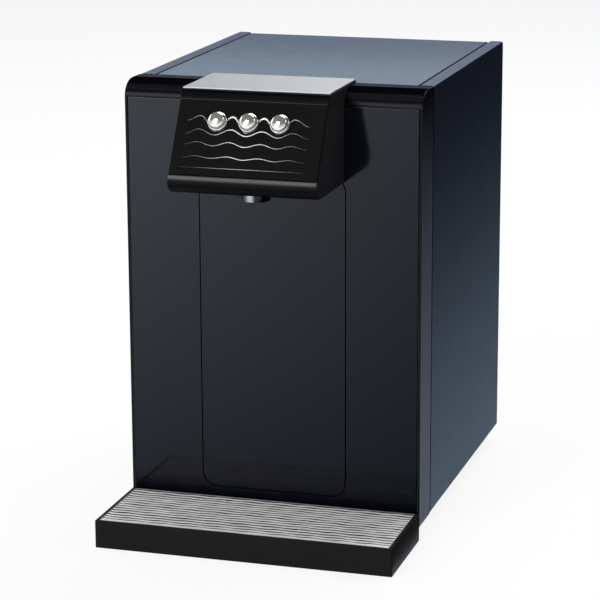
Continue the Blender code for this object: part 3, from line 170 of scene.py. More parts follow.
def everything_deselected():
    """Leaves object mode current and nothing selected."""
    if bpy.context.object and bpy.context.object.mode != "OBJECT":
        bpy.ops.object.mode_set(mode="OBJECT")
    bpy.ops.object.select_all(action="DESELECT")


def taken_up(piece):
    """Makes one piece the only one selected, and the active one."""
    everything_deselected()
    piece.select_set(True)
    bpy.context.view_layer.objects.active = piece


def modified(piece, kind, **settings):
    """Adds a modifier with these settings and applies it."""
    taken_up(piece)
    step = piece.modifiers.new(kind.lower(), kind)
    for name, value in settings.items():
        setattr(step, name, value)
    bpy.ops.object.modifier_apply(modifier=step.name)
    return piece


def shaded(piece):
    """Shades a piece smooth between its sharp edges and keeps its flat faces flat."""
    taken_up(piece)
    bpy.ops.object.shade_smooth_by_angle(angle=sharp_fold)
    return modified(piece, "WEIGHTED_NORMAL", mode="FACE_AREA", weight=100, keep_sharp=True)


def edges_eased(piece, width, rounds=2):
    """Rounds a piece's sharp edges a little."""
    modified(piece, "BEVEL", width=width, segments=rounds, limit_method="ANGLE",
             angle_limit=eased_fold, use_clamp_overlap=True)
    return shaded(piece)


def merged_copy(node, name):
    """A copy of a CAD node with its triangles merged into whole faces."""
    piece = bpy.data.objects.new(name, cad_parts[node].data.copy())
    bpy.context.scene.collection.objects.link(piece)
    piece.data.name = name
    taken_up(piece)
    bpy.ops.object.mode_set(mode="EDIT")
    bpy.ops.mesh.select_all(action="SELECT")
    bpy.ops.mesh.remove_doubles(threshold=weld_reach)
    bpy.ops.mesh.dissolve_limited(angle_limit=flat_fold)
    bpy.ops.object.mode_set(mode="OBJECT")
    return piece


def fitted(piece, finish, slot, body, *nodes):
    """Gives a piece its finish, the body that it rides on and the nodes that it stands for."""
    piece.data.materials.clear()
    piece.data.materials.append(finish.material)
    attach(piece, body)
    if nodes:
        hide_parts(*nodes)
    return piece


side_paint = Finish("side_paint", Specular_IOR_Level=0.05)
# Painted shade and painted reflection: the wall's blue is darkest near the top and paler towards
# the bottom, with a random mottle.
painted_reflection_share = ((side_painted_shade_height - side_paint.place("Z")) * side_fade_rate) ** side_fade_power
mottle = side_paint.varied(0.030, 0.93, 1.07)
wall_blue_painted_shading = side_paint.mixed(painted_reflection_share * mottle, side_painted_shade, side_painted_reflection)
side_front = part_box("side_panel_right")[0].y
# Painted light: the upward faces take a lighter blue than the walls, lightest near the front.
backward = side_paint.place("Y").between(side_front, side_front + flange_fade)
flange = side_paint.mixed(backward, flange_painted_highlight, flange_painted_light)
side_colour = side_paint.mixed(side_paint.facing("Z").between(0.5, 0.9), wall_blue_painted_shading, flange)
# Painted shadow: a dark band along the side's front edge, at its joint with the surround.
off_joint = side_paint.place("Y").between(side_front + joint_line, side_front + joint_shade)
side_paint.set("Base Color", side_paint.mixed(off_joint, joint_painted_shadow, side_colour))
side_paint.set("Roughness", side_paint.varied(0.012, 0.30, 0.40))
side_paint.relief(side_paint.grain(paint_peel), peel_depth)

for hand in ("left", "right"):
    side = edges_eased(merged_copy("side_panel_" + hand, "side_" + hand), side_edge)
    fitted(side, side_paint, "blue_steel", "casing", "side_panel_" + hand)

# Top sheet: a flat blank of the same painted steel, cut square with its edges broken. It is dropped
# on the steps of the two side panels and leaves a narrow joint.
top_edge = 0.0003
# The top is painted a lighter blue than the sides, a painted reflection, and lightest at the front,
# darker towards the back: painted light.
top_painted_light = (0.120, 0.168, 0.228, 1)
top_far_painted_shade = (0.042, 0.072, 0.120, 1)
top_fade = (-0.07, 0.20)
top_low, top_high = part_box("top_panel")
front_joint = (top_low.y + 0.0028, top_low.y + 0.0048)

top_paint = Finish("top_paint", Specular_IOR_Level=0.05)
# Painted light: the top's blue is lighter at the front and darker towards the back, with a random
# drift.
farther = top_paint.place("Y").between(*top_fade) * top_paint.varied(0.035, 0.9, 1.1)
top_colour = top_paint.mixed(farther, top_painted_light, top_far_painted_shade)
# Painted shadow: dark bands along the top sheet's sides and front, at its joints.
off_sides = abs(top_paint.place("X")).between(top_high.x - joint_line, top_high.x - joint_shade)
off_front = top_paint.place("Y").between(*front_joint)
top_paint.set("Base Color", top_paint.mixed(off_sides * off_front, joint_painted_shadow, top_colour))
top_paint.set("Roughness", top_paint.varied(0.015, 0.27, 0.37))
top_paint.relief(top_paint.grain(paint_peel), peel_depth)
top_sheet = edges_eased(merged_copy("top_panel", "top_sheet"), top_edge)
fitted(top_sheet, top_paint, "blue_steel", "casing", "top_panel")

# Rear sheet: painted steel, punched flat with two columns of air slots and the opening of the
# connection recess. Four self-tapping screws hold it on the rear flanges of the side panels.
rear_edge = 0.0003
rear_dark = (0.028, 0.040, 0.056, 1)
rear_light = (0.038, 0.052, 0.070, 1)

rear_paint = Finish("rear_paint", Specular_IOR_Level=0.3)
rear_paint.set("Base Color", rear_paint.mixed(rear_paint.grain(0.040), rear_dark, rear_light))
rear_paint.set("Roughness", rear_paint.varied(0.012, 0.36, 0.48))
rear_paint.relief(rear_paint.grain(0.0012), 0.00003)
rear_sheet = edges_eased(merged_copy("rear_panel", "rear_sheet"), rear_edge)
fitted(rear_sheet, rear_paint, "blue_steel", "casing", "rear_panel")

# Front surround: one glossy charcoal moulding, a hollow cap with a rounded top edge and two cheeks
# that reach down to the pan. It hooks over the front ends of the side panels.
surround_wall = 0.0025
surround_edge = 0.0007
surround_overrun = 0.010
opening_reach = 0.005
nose_depth = 0.018
nose_drop = 0.0135
nose_steps = 20
surround_dark = (0.0016, 0.0018, 0.0027, 1)
# The cheeks' sides are painted dark near the top and paler towards the bottom: painted shade and
# painted reflection, as on the side panels.
cheek_painted_reflection = (0.118, 0.136, 0.178, 1)
cheek_painted_shade_height = 0.385
cheek_fade_rate = 2.6
# A slate band on the flat top strip behind the nose: painted reflection.
strip_painted_reflection = (0.037, 0.043, 0.057, 1)
strip_front = (-0.0865, -0.0845)
strip_back = (-0.0735, -0.0750)
gloss_ripple = 0.004
ripple_depth = 0.000002

front_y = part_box("front_panel")[0].y
surround_low, surround_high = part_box("front_surround")
surround_back = surround_high.y
nose_y = front_y + nose_depth
nose_z = surround_high.z - nose_drop


def arc(centre, reach, rise, start, end, steps):
    """Points (y, z) on an arc between two angles, in degrees."""
    points = []
    for step in range(steps + 1):
        angle = math.radians(start + (end - start) * step / steps)
        points.append((centre[0] + reach * math.cos(angle), centre[1] + rise * math.sin(angle)))
    return points


def line_pulled_out(name, points):
    """A line through these points, extruded corner by corner from one vertex, in edit mode."""
    everything_deselected()
    bpy.ops.mesh.primitive_plane_add(size=0.001)
    piece = bpy.context.object
    piece.name = name
    piece.data.name = name
    bpy.ops.object.mode_set(mode="EDIT")
    bpy.ops.mesh.select_all(action="SELECT")
    bpy.ops.mesh.merge(type="CENTER")
    bpy.ops.transform.translate(value=points[0])
    for here, there in zip(points, points[1:]):
        step = Vector(there) - Vector(here)
        bpy.ops.mesh.extrude_vertices_move(TRANSFORM_OT_translate={"value": step})
    bpy.ops.mesh.select_all(action="SELECT")
    return piece


def faced_outwards():
    """Turns all faces of the piece in edit mode outwards, and leaves edit mode."""
    bpy.ops.mesh.select_all(action="SELECT")
    bpy.ops.mesh.normals_make_consistent(inside=False)
    bpy.ops.object.mode_set(mode="OBJECT")


def solid_drawn(name, outline, pull):
    """A solid with this closed outline, extruded in one straight pull."""
    piece = line_pulled_out(name, outline)
    bpy.ops.mesh.edge_face_add()
    bpy.ops.mesh.extrude_region_move(TRANSFORM_OT_translate={"value": pull})
    faced_outwards()
    return piece


def across_width(name, side_outline, x_low, x_high):
    """A solid drawn as a side outline (y, z) and extruded from one x to another."""
    return solid_drawn(name, [(x_low, y, z) for y, z in side_outline], (x_high - x_low, 0, 0))


def shaped(piece, cutter, operation="DIFFERENCE"):
    """Cuts another solid from a piece, or welds it on, and removes the other one."""
    modified(piece, "BOOLEAN", object=cutter, operation=operation, solver="EXACT")
    bpy.data.objects.remove(cutter)
    return piece


def nose(inset):
    """The rounded top edge of the surround as points (y, z), moved inwards by inset."""
    return arc((nose_y, nose_z), nose_depth - inset, nose_drop - inset, 90, 180, nose_steps)


surround = across_width(
    "surround",
    [(surround_back, surround_low.z), (surround_back, surround_high.z), *nose(0),
     (front_y, surround_low.z)],
    surround_low.x, surround_high.x,
)
below_surround = surround_low.z - surround_overrun
between_cheeks = (surround_low.x + surround_wall, surround_high.x - surround_wall)
hollow = across_width(
    "surround_hollow",
    [(surround_back + surround_overrun, below_surround),
     (surround_back + surround_overrun, surround_high.z - surround_wall),
     *nose(surround_wall), (front_y + surround_wall, below_surround)],
    *between_cheeks,
)
opening_front = front_y - surround_overrun
opening_back = front_y + surround_wall + opening_reach
opening = across_width(
    "surround_opening",
    [(opening_front, below_surround), (opening_back, below_surround),
     (opening_back, nose_z), (opening_front, nose_z)],
    *between_cheeks,
)
shaped(surround, hollow)
shaped(surround, opening)
edges_eased(surround, surround_edge, rounds=3)

surround_black = Finish("surround_black", Specular_IOR_Level=0.0, Coat_Roughness=0.30)
# Painted shade and painted reflection: the cheeks' sides are darkest near the top and paler towards
# the bottom.
sideways = abs(surround_black.facing("X")).between(0.5, 0.9)
cheek_painted_share = (cheek_painted_shade_height - surround_black.place("Z")) * cheek_fade_rate * sideways
walls = surround_black.mixed(cheek_painted_share, surround_dark, cheek_painted_reflection)
surround_up = surround_black.facing("Z")
surround_y = surround_black.place("Y")
# Painted reflection: a slate band on the flat strip behind the nose.
on_strip = (surround_y.between(*strip_front) * surround_y.between(*strip_back)
            * surround_up.between(0.90, 0.97))
surround_black.set("Base Color", surround_black.mixed(on_strip, walls, strip_painted_reflection))
surround_black.set("Roughness", surround_black.varied(0.020, 0.30, 0.36))
crest_gloss = surround_up.between(0.88, 0.76) * surround_up.between(0.50, 0.66) * 0.85
wall_gloss = surround_up.between(0.45, 0.0) * 0.25
shoulder_gloss = surround_up.between(0.80, 0.60) * 0.04
surround_black.set("Coat Weight", crest_gloss + wall_gloss + shoulder_gloss)
surround_black.relief(surround_black.grain(gloss_ripple), ripple_depth)
fitted(surround, surround_black, "gloss_charcoal", "casing", "front_surround")

# Front panel: a flat glossy sheet between the cheeks, with an opening for the splash panel and a
# window for the head's fixings, hidden behind the head.
panel_edge = 0.0003
splash_half = 0.0640
splash_low, splash_high = 0.0330, 0.3125
splash_corner = 0.0130
splash_seam = 0.0008
corner_steps = 10
window_half = 0.018
window_low, window_high = 0.318, 0.342
cutter_y = front_y - 0.005
cutter_pull = (0, 0.015, 0)
charcoal_low = (0.0003, 0.0009, 0.0028, 1)
charcoal_high = (0.0006, 0.0014, 0.0040, 1)
tray_shade = (0.022, 0.044)
panel_low, panel_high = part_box("front_panel")
panel_pull = (0, panel_high.y - front_y, 0)


def rectangle(x_low, x_high, z_low, z_high, y):
    """The outline of an upright rectangle in the plane y."""
    return [(x_low, y, z_low), (x_high, y, z_low), (x_high, y, z_high), (x_low, y, z_high)]


def round_rectangle(x_low, x_high, z_low, z_high, radius, y):
    """The outline of an upright rectangle with round corners, in the plane y."""
    corners = ((x_high, z_low, -90), (x_high, z_high, 0), (x_low, z_high, 90), (x_low, z_low, 180))
    outline = []
    for x, z, start in corners:
        in_x = x - math.copysign(radius, x - (x_low + x_high) / 2)
        in_z = z - math.copysign(radius, z - (z_low + z_high) / 2)
        outline += arc((in_x, in_z), radius, radius, start, start + 90, corner_steps)
    return [(x, y, z) for x, z in outline]


flat_front = solid_drawn(
    "flat_front",
    rectangle(panel_low.x, panel_high.x, panel_low.z, panel_high.z, front_y),
    panel_pull,
)
splash_cutter = solid_drawn(
    "splash_opening",
    round_rectangle(-splash_half - splash_seam, splash_half + splash_seam, splash_low - splash_seam,
                    splash_high + splash_seam, splash_corner + splash_seam, cutter_y),
    cutter_pull,
)
window_cutter = solid_drawn(
    "window_opening",
    rectangle(-window_half, window_half, window_low, window_high, cutter_y),
    cutter_pull,
)
shaped(flat_front, splash_cutter)
shaped(flat_front, window_cutter)
edges_eased(flat_front, panel_edge)

charcoal = Finish("charcoal_gloss", Specular_IOR_Level=0.0, Coat_Roughness=0.10, Coat_IOR=1.62)
charcoal.set("Base Color", charcoal.mixed(charcoal.grain(0.020), charcoal_low, charcoal_high))
charcoal.set("Roughness", charcoal.varied(0.020, 0.30, 0.36))
charcoal_z = charcoal.place("Z")
gloss_by_height = charcoal_z * 1.5 + 0.27
gloss_by_width = charcoal.place("X") * -1.85 + 0.81
off_top = charcoal.facing("Z").between(0.5, 0.1)
front_gloss = gloss_by_height * gloss_by_width * charcoal_z.between(*tray_shade) * off_top
charcoal.set("Coat Weight", front_gloss)
charcoal.relief(charcoal.grain(gloss_ripple), ripple_depth)
fitted(flat_front, charcoal, "gloss_charcoal", "casing", "front_panel")

# Splash panel: a flush panel with round lower corners behind the cup, moulded of the same plastic
# and clipped into the opening of the front.
splash = solid_drawn(
    "splash",
    round_rectangle(-splash_half, splash_half, splash_low, splash_high, splash_corner, front_y),
    panel_pull,
)
edges_eased(splash, panel_edge)
fitted(splash, charcoal, "gloss_charcoal", "casing", "splash_panel")

# Head: a matt black moulding over the front, with a round brow, a slope for the buttons and a
# bullnose lip. It is clipped on from behind, and its underside is open for the nozzle's neck.
head_half = 0.0635
head_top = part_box("head_shell")[1].z
head_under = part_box("head_shell")[0].z
head_reach = 0.0425
head_edge = 0.0006
head_wall = 0.0025
hollow_back = front_y + 0.005
outer_steps, inner_steps = 14, 10
face_angle = math.radians(30.5)
face_sheet = 0.0016
fit_gap = 0.0003
brow_height = 0.0075
brow_radius = 0.0040
lip_radius = 0.0100
seat_margin = 0.001
stem_radius = 0.0035
neck_radius = 0.0070
nozzle_y = front_y - 0.0420
button_pitch = 0.0266
button_down = 0.0275
buttons_x = -0.0010
buttons = {
    "left": buttons_x - button_pitch,
    "centre": buttons_x,
    "right": buttons_x + button_pitch,
}
drill_sides = 32
drill_lead = 0.004
drill_depth = 0.008
moulded_dark = (0.0044, 0.0044, 0.0052, 1)
moulded_light = (0.0076, 0.0076, 0.0088, 1)
# The head's sides are painted a lighter grey (painted light), its underside darker (painted shade),
# and the flat of its brow near black (painted shade).
head_side_painted_light = (0.0112, 0.0113, 0.0126, 1)
head_under_painted_shade = (0.0020, 0.0020, 0.0025, 1)
brow_painted_shade = (0.0008, 0.0008, 0.0009, 1)
brow_shade = (head_top - 0.0074, head_top - 0.0060)
brow_gloss = (head_top - 0.0055, head_top - 0.0076)

face_top = Vector((front_y - head_reach, head_top))
face_down = Vector((-math.sin(face_angle), -math.cos(face_angle)))
face_out = Vector((-math.cos(face_angle), math.sin(face_angle)))
face_length = (head_top - head_under) / math.cos(face_angle)
lip_turn = math.pi / 2 + face_angle
lip_start = face_length - lip_radius * math.tan(lip_turn / 2)
face_seat = face_sheet + fit_gap
seat_end = lip_start - seat_margin
face_tilt = (math.pi / 2 - face_angle, 0, 0)


def on_face(down, depth=0.0):
    """The point (y, z) this far down the slope and this deep behind it."""
    return tuple(face_top + face_down * down - face_out * depth)


def rounded(before, corner, after, radius, steps):
    """The points of a corner (y, z) rounded with this radius."""
    corner = Vector(corner)
    back = (Vector(before) - corner).normalized()
    ahead = (Vector(after) - corner).normalized()
    half = back.angle(ahead) / 2
    centre = corner + (back + ahead).normalized() * radius / math.sin(half)
    start = corner + back * radius / math.tan(half) - centre
    end = corner + ahead * radius / math.tan(half) - centre
    turn = math.atan2(start.x * end.y - start.y * end.x, start.dot(end))
    points = []
    for step in range(steps + 1):
        angle = math.atan2(start.y, start.x) + turn * step / steps
        points.append((centre.x + radius * math.cos(angle), centre.y + radius * math.sin(angle)))
    return points


def head_line(inset, steps):
    """The brow and the lip of the head's side outline, moved inwards by inset."""
    top_corner = (face_top.x + inset * math.tan(math.pi / 4 - face_angle / 2), head_top - inset)
    lip_corner = face_top + face_down * face_length
    lower_corner = (lip_corner.x + inset / math.tan((math.pi - lip_turn) / 2), head_under + inset)
    brow = rounded((front_y, head_top - inset), top_corner, lower_corner,
                   max(brow_radius - inset, brow_radius / 4), steps)
    lip = rounded(top_corner, lower_corner, (front_y, head_under + inset),
                  max(lip_radius - inset, lip_radius / 4), steps)
    return brow, lip


def drilled(piece, radius, start, end):
    """Cuts a round hole through a piece from one point to another."""
    everything_deselected()
    start, end = Vector(start), Vector(end)
    bpy.ops.mesh.primitive_cylinder_add(
        vertices=drill_sides, radius=radius, depth=(end - start).length,
        location=(start + end) / 2, rotation=(end - start).to_track_quat("Z", "Y").to_euler(),
    )
    return shaped(piece, bpy.context.object)


def drilled_at_buttons(piece, radius, depth):
    """Cuts a hole square to the slope at each button, down to this depth behind it."""
    above, below = on_face(button_down, -drill_lead), on_face(button_down, depth)
    for x in buttons.values():
        drilled(piece, radius, (x, *above), (x, *below))


outer_brow, outer_lip = head_line(0, outer_steps)
head = across_width(
    "head",
    [(surround_back, head_top), *outer_brow, on_face(brow_height), on_face(brow_height, face_seat),
     on_face(seat_end, face_seat), on_face(seat_end), *outer_lip, (front_y - fit_gap, head_under),
     *arc((nose_y, nose_z), nose_depth + fit_gap, nose_drop + fit_gap, 180, 90, nose_steps),
     (surround_back, surround_high.z + fit_gap)],
    -head_half, head_half,
)
edges_eased(head, head_edge, rounds=3)
inner_brow, inner_lip = head_line(head_wall + face_seat, inner_steps)
shaped(head, across_width(
    "head_hollow",
    [(hollow_back, head_top - head_wall - face_seat), *inner_brow, *inner_lip,
     (hollow_back, head_under + head_wall + face_seat)],
    -head_half + head_wall, head_half - head_wall,
))
drilled_at_buttons(head, stem_radius + fit_gap, drill_depth)
drilled(head, neck_radius + fit_gap,
        (0, nozzle_y, head_under - drill_lead), (0, nozzle_y, head_under + drill_depth))
shaded(head)

black = Finish("black_moulding", Specular_IOR_Level=0.04, Coat_Roughness=0.26)
moulded = black.mixed(black.grain(0.020), moulded_dark, moulded_light)
# Painted light and shade: lighter on the sides, darker on the underside and near black on the
# brow's flat.
on_side = abs(black.facing("X")).between(0.6, 0.95)
with_sides = black.mixed(on_side, moulded, head_side_painted_light)
black_up = black.facing("Z")
with_underside = black.mixed(black_up.between(0.02, -0.30), with_sides, head_under_painted_shade)
on_brow = black_up.between(0.40, 0.50) * black.place("Z").between(*brow_shade)
black.set("Base Color", black.mixed(on_brow, with_underside, brow_painted_shade))
black.set("Roughness", black.varied(0.006, 0.29, 0.39))
off_brow = black.place("Z").between(*brow_gloss)
black.set("Coat Weight", black_up.between(0.05, 0.55) * off_brow * 0.50)
black.relief(black.grain(0.0007), 0.000015)
fitted(head, black, "matt_black", "casing", "head_shell")

# Head plate: 1.3 mm metal sheet, brushed from side to side and cut to the head's outline. Its edges
# are broken, and it is glued on the head's flat top.
plate_edge = 0.0003
plate_low, plate_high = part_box("head_top_plate")
silver_dark = (0.34, 0.35, 0.37, 1)
silver_light = (0.43, 0.44, 0.46, 1)
brush_stretch = (60, 1, 1)
brush_depth = 0.000006


def slab(name, low, high):
    """A block between two corners, from a primitive that is scaled to them in edit mode."""
    everything_deselected()
    middle = (Vector(low) + Vector(high)) / 2
    bpy.ops.mesh.primitive_cube_add(size=1, location=middle)
    piece = bpy.context.object
    piece.name = name
    piece.data.name = name
    bpy.ops.object.mode_set(mode="EDIT")
    bpy.ops.transform.resize(value=Vector(high) - Vector(low), center_override=middle)
    bpy.ops.object.mode_set(mode="OBJECT")
    bpy.ops.object.transform_apply(location=True, rotation=True, scale=True)
    return piece


head_plate = slab("head_plate", plate_low, plate_high)
edges_eased(head_plate, plate_edge)
brushed = Finish("brushed_silver", Metallic=1.0)
brushing = brushed.grain(0.0004, brush_stretch, 3.0)
brushed.patterned(brushing, silver_dark, silver_light, 0.42, 0.58)
brushed.relief(brushing, brush_depth)
fitted(head_plate, brushed, "silver_plate", "casing", "head_top_plate")

# Control plate: a thin matt black plate with rounded edges, let into the seat on the head's slope.
# It has a hole for the stem of each button.
control_edge = 0.0007
plate_border = 0.0004
plate_dark = (0.0031, 0.0031, 0.0028, 1)
plate_light = (0.0048, 0.0047, 0.0044, 1)
# A lighter grey on the plate's upper rounded edge: a painted highlight.
edge_painted_highlight = (0.100, 0.097, 0.090, 1)


def put(piece, place, turn=(0, 0, 0)):
    """Moves and turns a finished piece, and leaves its object at the origin."""
    taken_up(piece)
    piece.location = place
    piece.rotation_euler = turn
    bpy.ops.object.transform_apply(location=True, rotation=True, scale=True)
    return piece


control = slab("control_face", (-head_half + plate_border, -(seat_end - fit_gap), -face_sheet),
               (head_half - plate_border, -(brow_height + fit_gap), 0))
edges_eased(control, control_edge, rounds=3)
put(control, (0, *on_face(0)), face_tilt)
drilled_at_buttons(control, stem_radius + fit_gap, drill_depth)
shaded(control)

plate_black = Finish("plate_black", Specular_IOR_Level=0.04)
plate_tone = plate_black.mixed(plate_black.grain(0.025), plate_dark, plate_light)
# Painted highlight: the plate's upper rounded edge is lighter grey.
on_upper_edge = plate_black.facing("Z").between(0.60, 0.85)
plate_black.set("Base Color", plate_black.mixed(on_upper_edge, plate_tone, edge_painted_highlight))
plate_black.set("Roughness", plate_black.varied(0.008, 0.46, 0.56))
plate_black.relief(plate_black.grain(0.0005), 0.000012)
fitted(control, plate_black, "matt_black", "casing", "control_plate")

# Wave lines: five silver lines, hot stamped on the control plate and a little raised. Each has its
# stroke, and how far down the slope its ends, crests and troughs lie. The top line arches between
# the buttons and ends just under their bezels.
wave_turns = (-0.0540, -0.0430, -0.0292, -0.0155, -0.0022, 0.0113, 0.0247, 0.0373, 0.0505)
wave_lines = (
    (0.0023, (0.0268, 0.0223, 0.0352, 0.0223, 0.0352, 0.0223, 0.0352, 0.0223, 0.0280)),
    (0.0012, (0.0382, 0.0340, 0.0386, 0.0335, 0.0386, 0.0339, 0.0387, 0.0342, 0.0383)),
    (0.0011, (0.0476, 0.0451, 0.0480, 0.0445, 0.0480, 0.0449, 0.0480, 0.0452, 0.0476)),
    (0.0010, (0.0590, 0.0572, 0.0588, 0.0569, 0.0590, 0.0572, 0.0590, 0.0573, 0.0590)),
    (0.0009, (0.0673, 0.0673, 0.0672, 0.0672, 0.0672, 0.0672, 0.0673, 0.0673, 0.0674)),
)
wave_steps = 96
wave_height_share = 0.30
wave_end_share = 0.16
wave_swell = 1.9
line_stop = 0.0080
line_cut_depth = 0.004
foil_dark = (0.035, 0.035, 0.036, 1)
foil_bright = (0.58, 0.58, 0.58, 1)
foil_fade = (0.004, 0.052)
upper_lines = (0.352, 0.366)
middle_lines = (0.331, 0.336)


def wave_line(name, stroke, downs):
    """A raised line on the plate, thick in its middle and fading out at both ends."""
    everything_deselected()
    bpy.ops.curve.primitive_nurbs_path_add()
    piece = bpy.context.object
    piece.name = name
    spline = piece.data.splines[0]
    spline.type = "POLY"
    spline.points.add(wave_steps + 1 - len(spline.points))
    legs = len(wave_turns) - 1
    for i, point in enumerate(spline.points):
        share = i / wave_steps
        leg = min(int(share * legs), legs - 1)
        along = share * legs - leg
        eased = (1 - math.cos(math.pi * along)) / 2
        x = wave_turns[leg] + (wave_turns[leg + 1] - wave_turns[leg]) * along
        point.co = (x, -(downs[leg] + (downs[leg + 1] - downs[leg]) * eased), 0, 1)
        point.radius = min(1, wave_end_share + wave_swell * min(share, 1 - share))
    piece.data.bevel_depth = stroke / 2
    piece.data.bevel_resolution = 2
    piece.data.use_fill_caps = True
    piece.scale = (1, 1, wave_height_share)
    bpy.ops.object.convert(target="MESH")
    bpy.ops.object.transform_apply(location=True, rotation=True, scale=True)
    bpy.ops.object.mode_set(mode="EDIT")
    faced_outwards()
    bpy.ops.object.shade_smooth()
    return put(piece, (0, *on_face(0)), face_tilt)


foil = Finish("silver_foil", Metallic=0.85)
nearer_middle = 1.0 - abs(foil.place("X")).between(*foil_fade)
foil_z = foil.place("Z")
by_line = foil_z.between(*upper_lines) * 0.5 + foil_z.between(*middle_lines) * 0.3 + 0.17
foil_share = (nearer_middle * 0.8 + foil.grain(0.006) * 0.2) * by_line
foil.set("Base Color", foil.mixed(foil_share, foil_dark, foil_bright))
foil.set("Roughness", foil.varied(0.002, 0.26, 0.40))
for i, line in enumerate(wave_lines):
    wave = wave_line("wave_line_" + str(i + 1), *line)
    if i == 0:
        drilled_at_buttons(wave, line_stop, line_cut_depth)
    fitted(wave, foil, "silver_plate", "casing")

# Buttons: chrome-plated domes with a long radius, each sliding in a chamfered chrome ring that is
# pressed into the plate. A stem below each one reaches its switch.
button_radius = 0.0070
button_height = 0.0086
dome_base = 0.0050
dome_steps = 14
collar_radius = 0.0050
collar_sheet = 0.001
bezel_radius = 0.0084
bezel_height = 0.0036
bezel_inner_edge = 0.0003
bezel_shoulder = ((0.0005, 0.0002), (0.0001, 0.0008), (0, 0.0014))
turned_sides = 64
turned_weld = 0.000005
turned_fold = math.radians(32)
chrome_dark = (0.88, 0.85, 0.77, 1)
chrome_light = (0.96, 0.93, 0.85, 1)


def turned(name, profile, closed=False):
    """A round piece spun from a half outline (radius, height) about Z."""
    points = [(radius, 0, height) for radius, height in profile]
    piece = line_pulled_out(name, points + points[:1] if closed else points)
    bpy.ops.mesh.spin(steps=turned_sides, angle=math.tau, center=(0, 0, 0), axis=(0, 0, 1))
    bpy.ops.mesh.select_all(action="SELECT")
    bpy.ops.mesh.remove_doubles(threshold=turned_weld)
    faced_outwards()
    bpy.ops.object.shade_smooth_by_angle(angle=turned_fold)
    return piece


def twin_of(piece, name):
    """A copy of a piece with its own mesh."""
    taken_up(piece)
    bpy.ops.object.duplicate()
    twin = bpy.context.object
    twin.name = name
    twin.data.name = name
    return twin


chrome = Finish("polished_chrome", Metallic=0.88)
chrome.set("Base Color", chrome.mixed(chrome.grain(0.010), chrome_dark, chrome_light))
chrome.set("Roughness", chrome.varied(0.004, 0.05, 0.10))

dome_angles = [math.radians(90 * i / dome_steps) for i in range(dome_steps + 1)]
dome = [(button_radius * math.sin(angle),
         dome_base + (button_height - dome_base) * math.cos(angle)) for angle in dome_angles]
cap_under = bezel_height - 3 * fit_gap
collar_top = -(face_seat + head_wall + fit_gap)
button_model = turned("button_model", [
    *dome, (button_radius, cap_under), (stem_radius, cap_under), (stem_radius, collar_top),
    (collar_radius, collar_top), (collar_radius, collar_top - collar_sheet),
    (0, collar_top - collar_sheet),
])
ring_radius = button_radius + fit_gap
shoulder = [(bezel_radius - inwards, bezel_height - down) for inwards, down in bezel_shoulder]
bezel_model = turned("bezel_model", [
    (ring_radius, fit_gap), (ring_radius, bezel_height - bezel_inner_edge),
    (ring_radius + bezel_inner_edge, bezel_height), *shoulder, (bezel_radius, fit_gap),
], closed=True)
for hand, x in buttons.items():
    button_seat = (x, *on_face(button_down))
    cap = put(twin_of(button_model, "cap_" + hand), button_seat, face_tilt)
    fitted(cap, chrome, "chrome", "button_" + hand, "button_" + hand)
    ring = put(twin_of(bezel_model, "bezel_" + hand), button_seat, face_tilt)
    fitted(ring, chrome, "chrome", "casing", "button_bezel_" + hand)
bpy.data.objects.remove(button_model)
bpy.data.objects.remove(bezel_model)

# Nozzle: a chrome-plated skirt with an open mouth. Its neck goes up through the head's underside
# and screws into the outlet block.
nozzle_radius = 0.0120
nozzle_mouth = 0.0085
nozzle_bore = 0.0030
nozzle_low, nozzle_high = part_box("nozzle")
skirt_top = head_under - fit_gap
skirt_end = nozzle_low.z + 0.0032
mouth_roof = nozzle_low.z + 0.009
skirt_bevel = 0.0004
rim_round, rim_middle = 0.0010, 0.0003
mouth_bevel = 0.0006
# The skirt is painted near black, with a bright band on its front and another round its back:
# painted reflection.
satin_painted_dark = (0.030, 0.030, 0.031, 1)
satin_painted_light = (0.58, 0.58, 0.58, 1)

spout = turned("spout", [
    (nozzle_bore, nozzle_high.z), (neck_radius, nozzle_high.z), (neck_radius, skirt_top),
    (nozzle_radius - skirt_bevel, skirt_top), (nozzle_radius, skirt_top - skirt_bevel),
    (nozzle_radius, skirt_end + rim_round), (nozzle_radius - rim_middle, skirt_end + rim_middle),
    (nozzle_radius - rim_round, skirt_end), (nozzle_mouth + mouth_bevel, skirt_end),
    (nozzle_mouth, skirt_end + mouth_bevel), (nozzle_mouth, mouth_roof), (nozzle_bore, mouth_roof),
], closed=True)
put(spout, (0, nozzle_y, 0))
satin = Finish("satin_chrome", Metallic=1.0)
# Painted reflection: bright bands set by the direction the surface faces, on a near black skirt.
satin_x = satin.facing("X")
front_glint = satin_x.between(-0.65, -0.12) * satin_x.between(0.22, -0.12)
rear_glint = satin.facing("Y").between(0.2, 0.6)
glint = (front_glint + rear_glint) * satin.varied(0.006, 0.8, 1.0)
satin.set("Base Color", satin.mixed(glint, satin_painted_dark, satin_painted_light))
satin.set("Roughness", satin.varied(0.003, 0.18, 0.24))
fitted(spout, satin, "chrome", "casing", "nozzle")

# Drip tray: a matt black moulded tub, open at the top, with a ledge for the grille and a tongue
# behind it that slides under the casing.
tray_low, tray_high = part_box("drip_tray")
tray_wall = 0.0022
tray_ledge = 0.0025
tray_floor = 0.0022
tray_edge = 0.0008
tub_round = 0.0015
tub_inset = tray_wall + tray_ledge
tray_back = front_y - fit_gap
tray_cut_top = tray_high.z + 0.004
tongue_half = 0.050
tongue_low, tongue_high = 0.0010, 0.0100
grille_sheet = 0.0015
tray_dark = (0.0060, 0.0056, 0.0058, 1)
tray_light = (0.0092, 0.0085, 0.0088, 1)

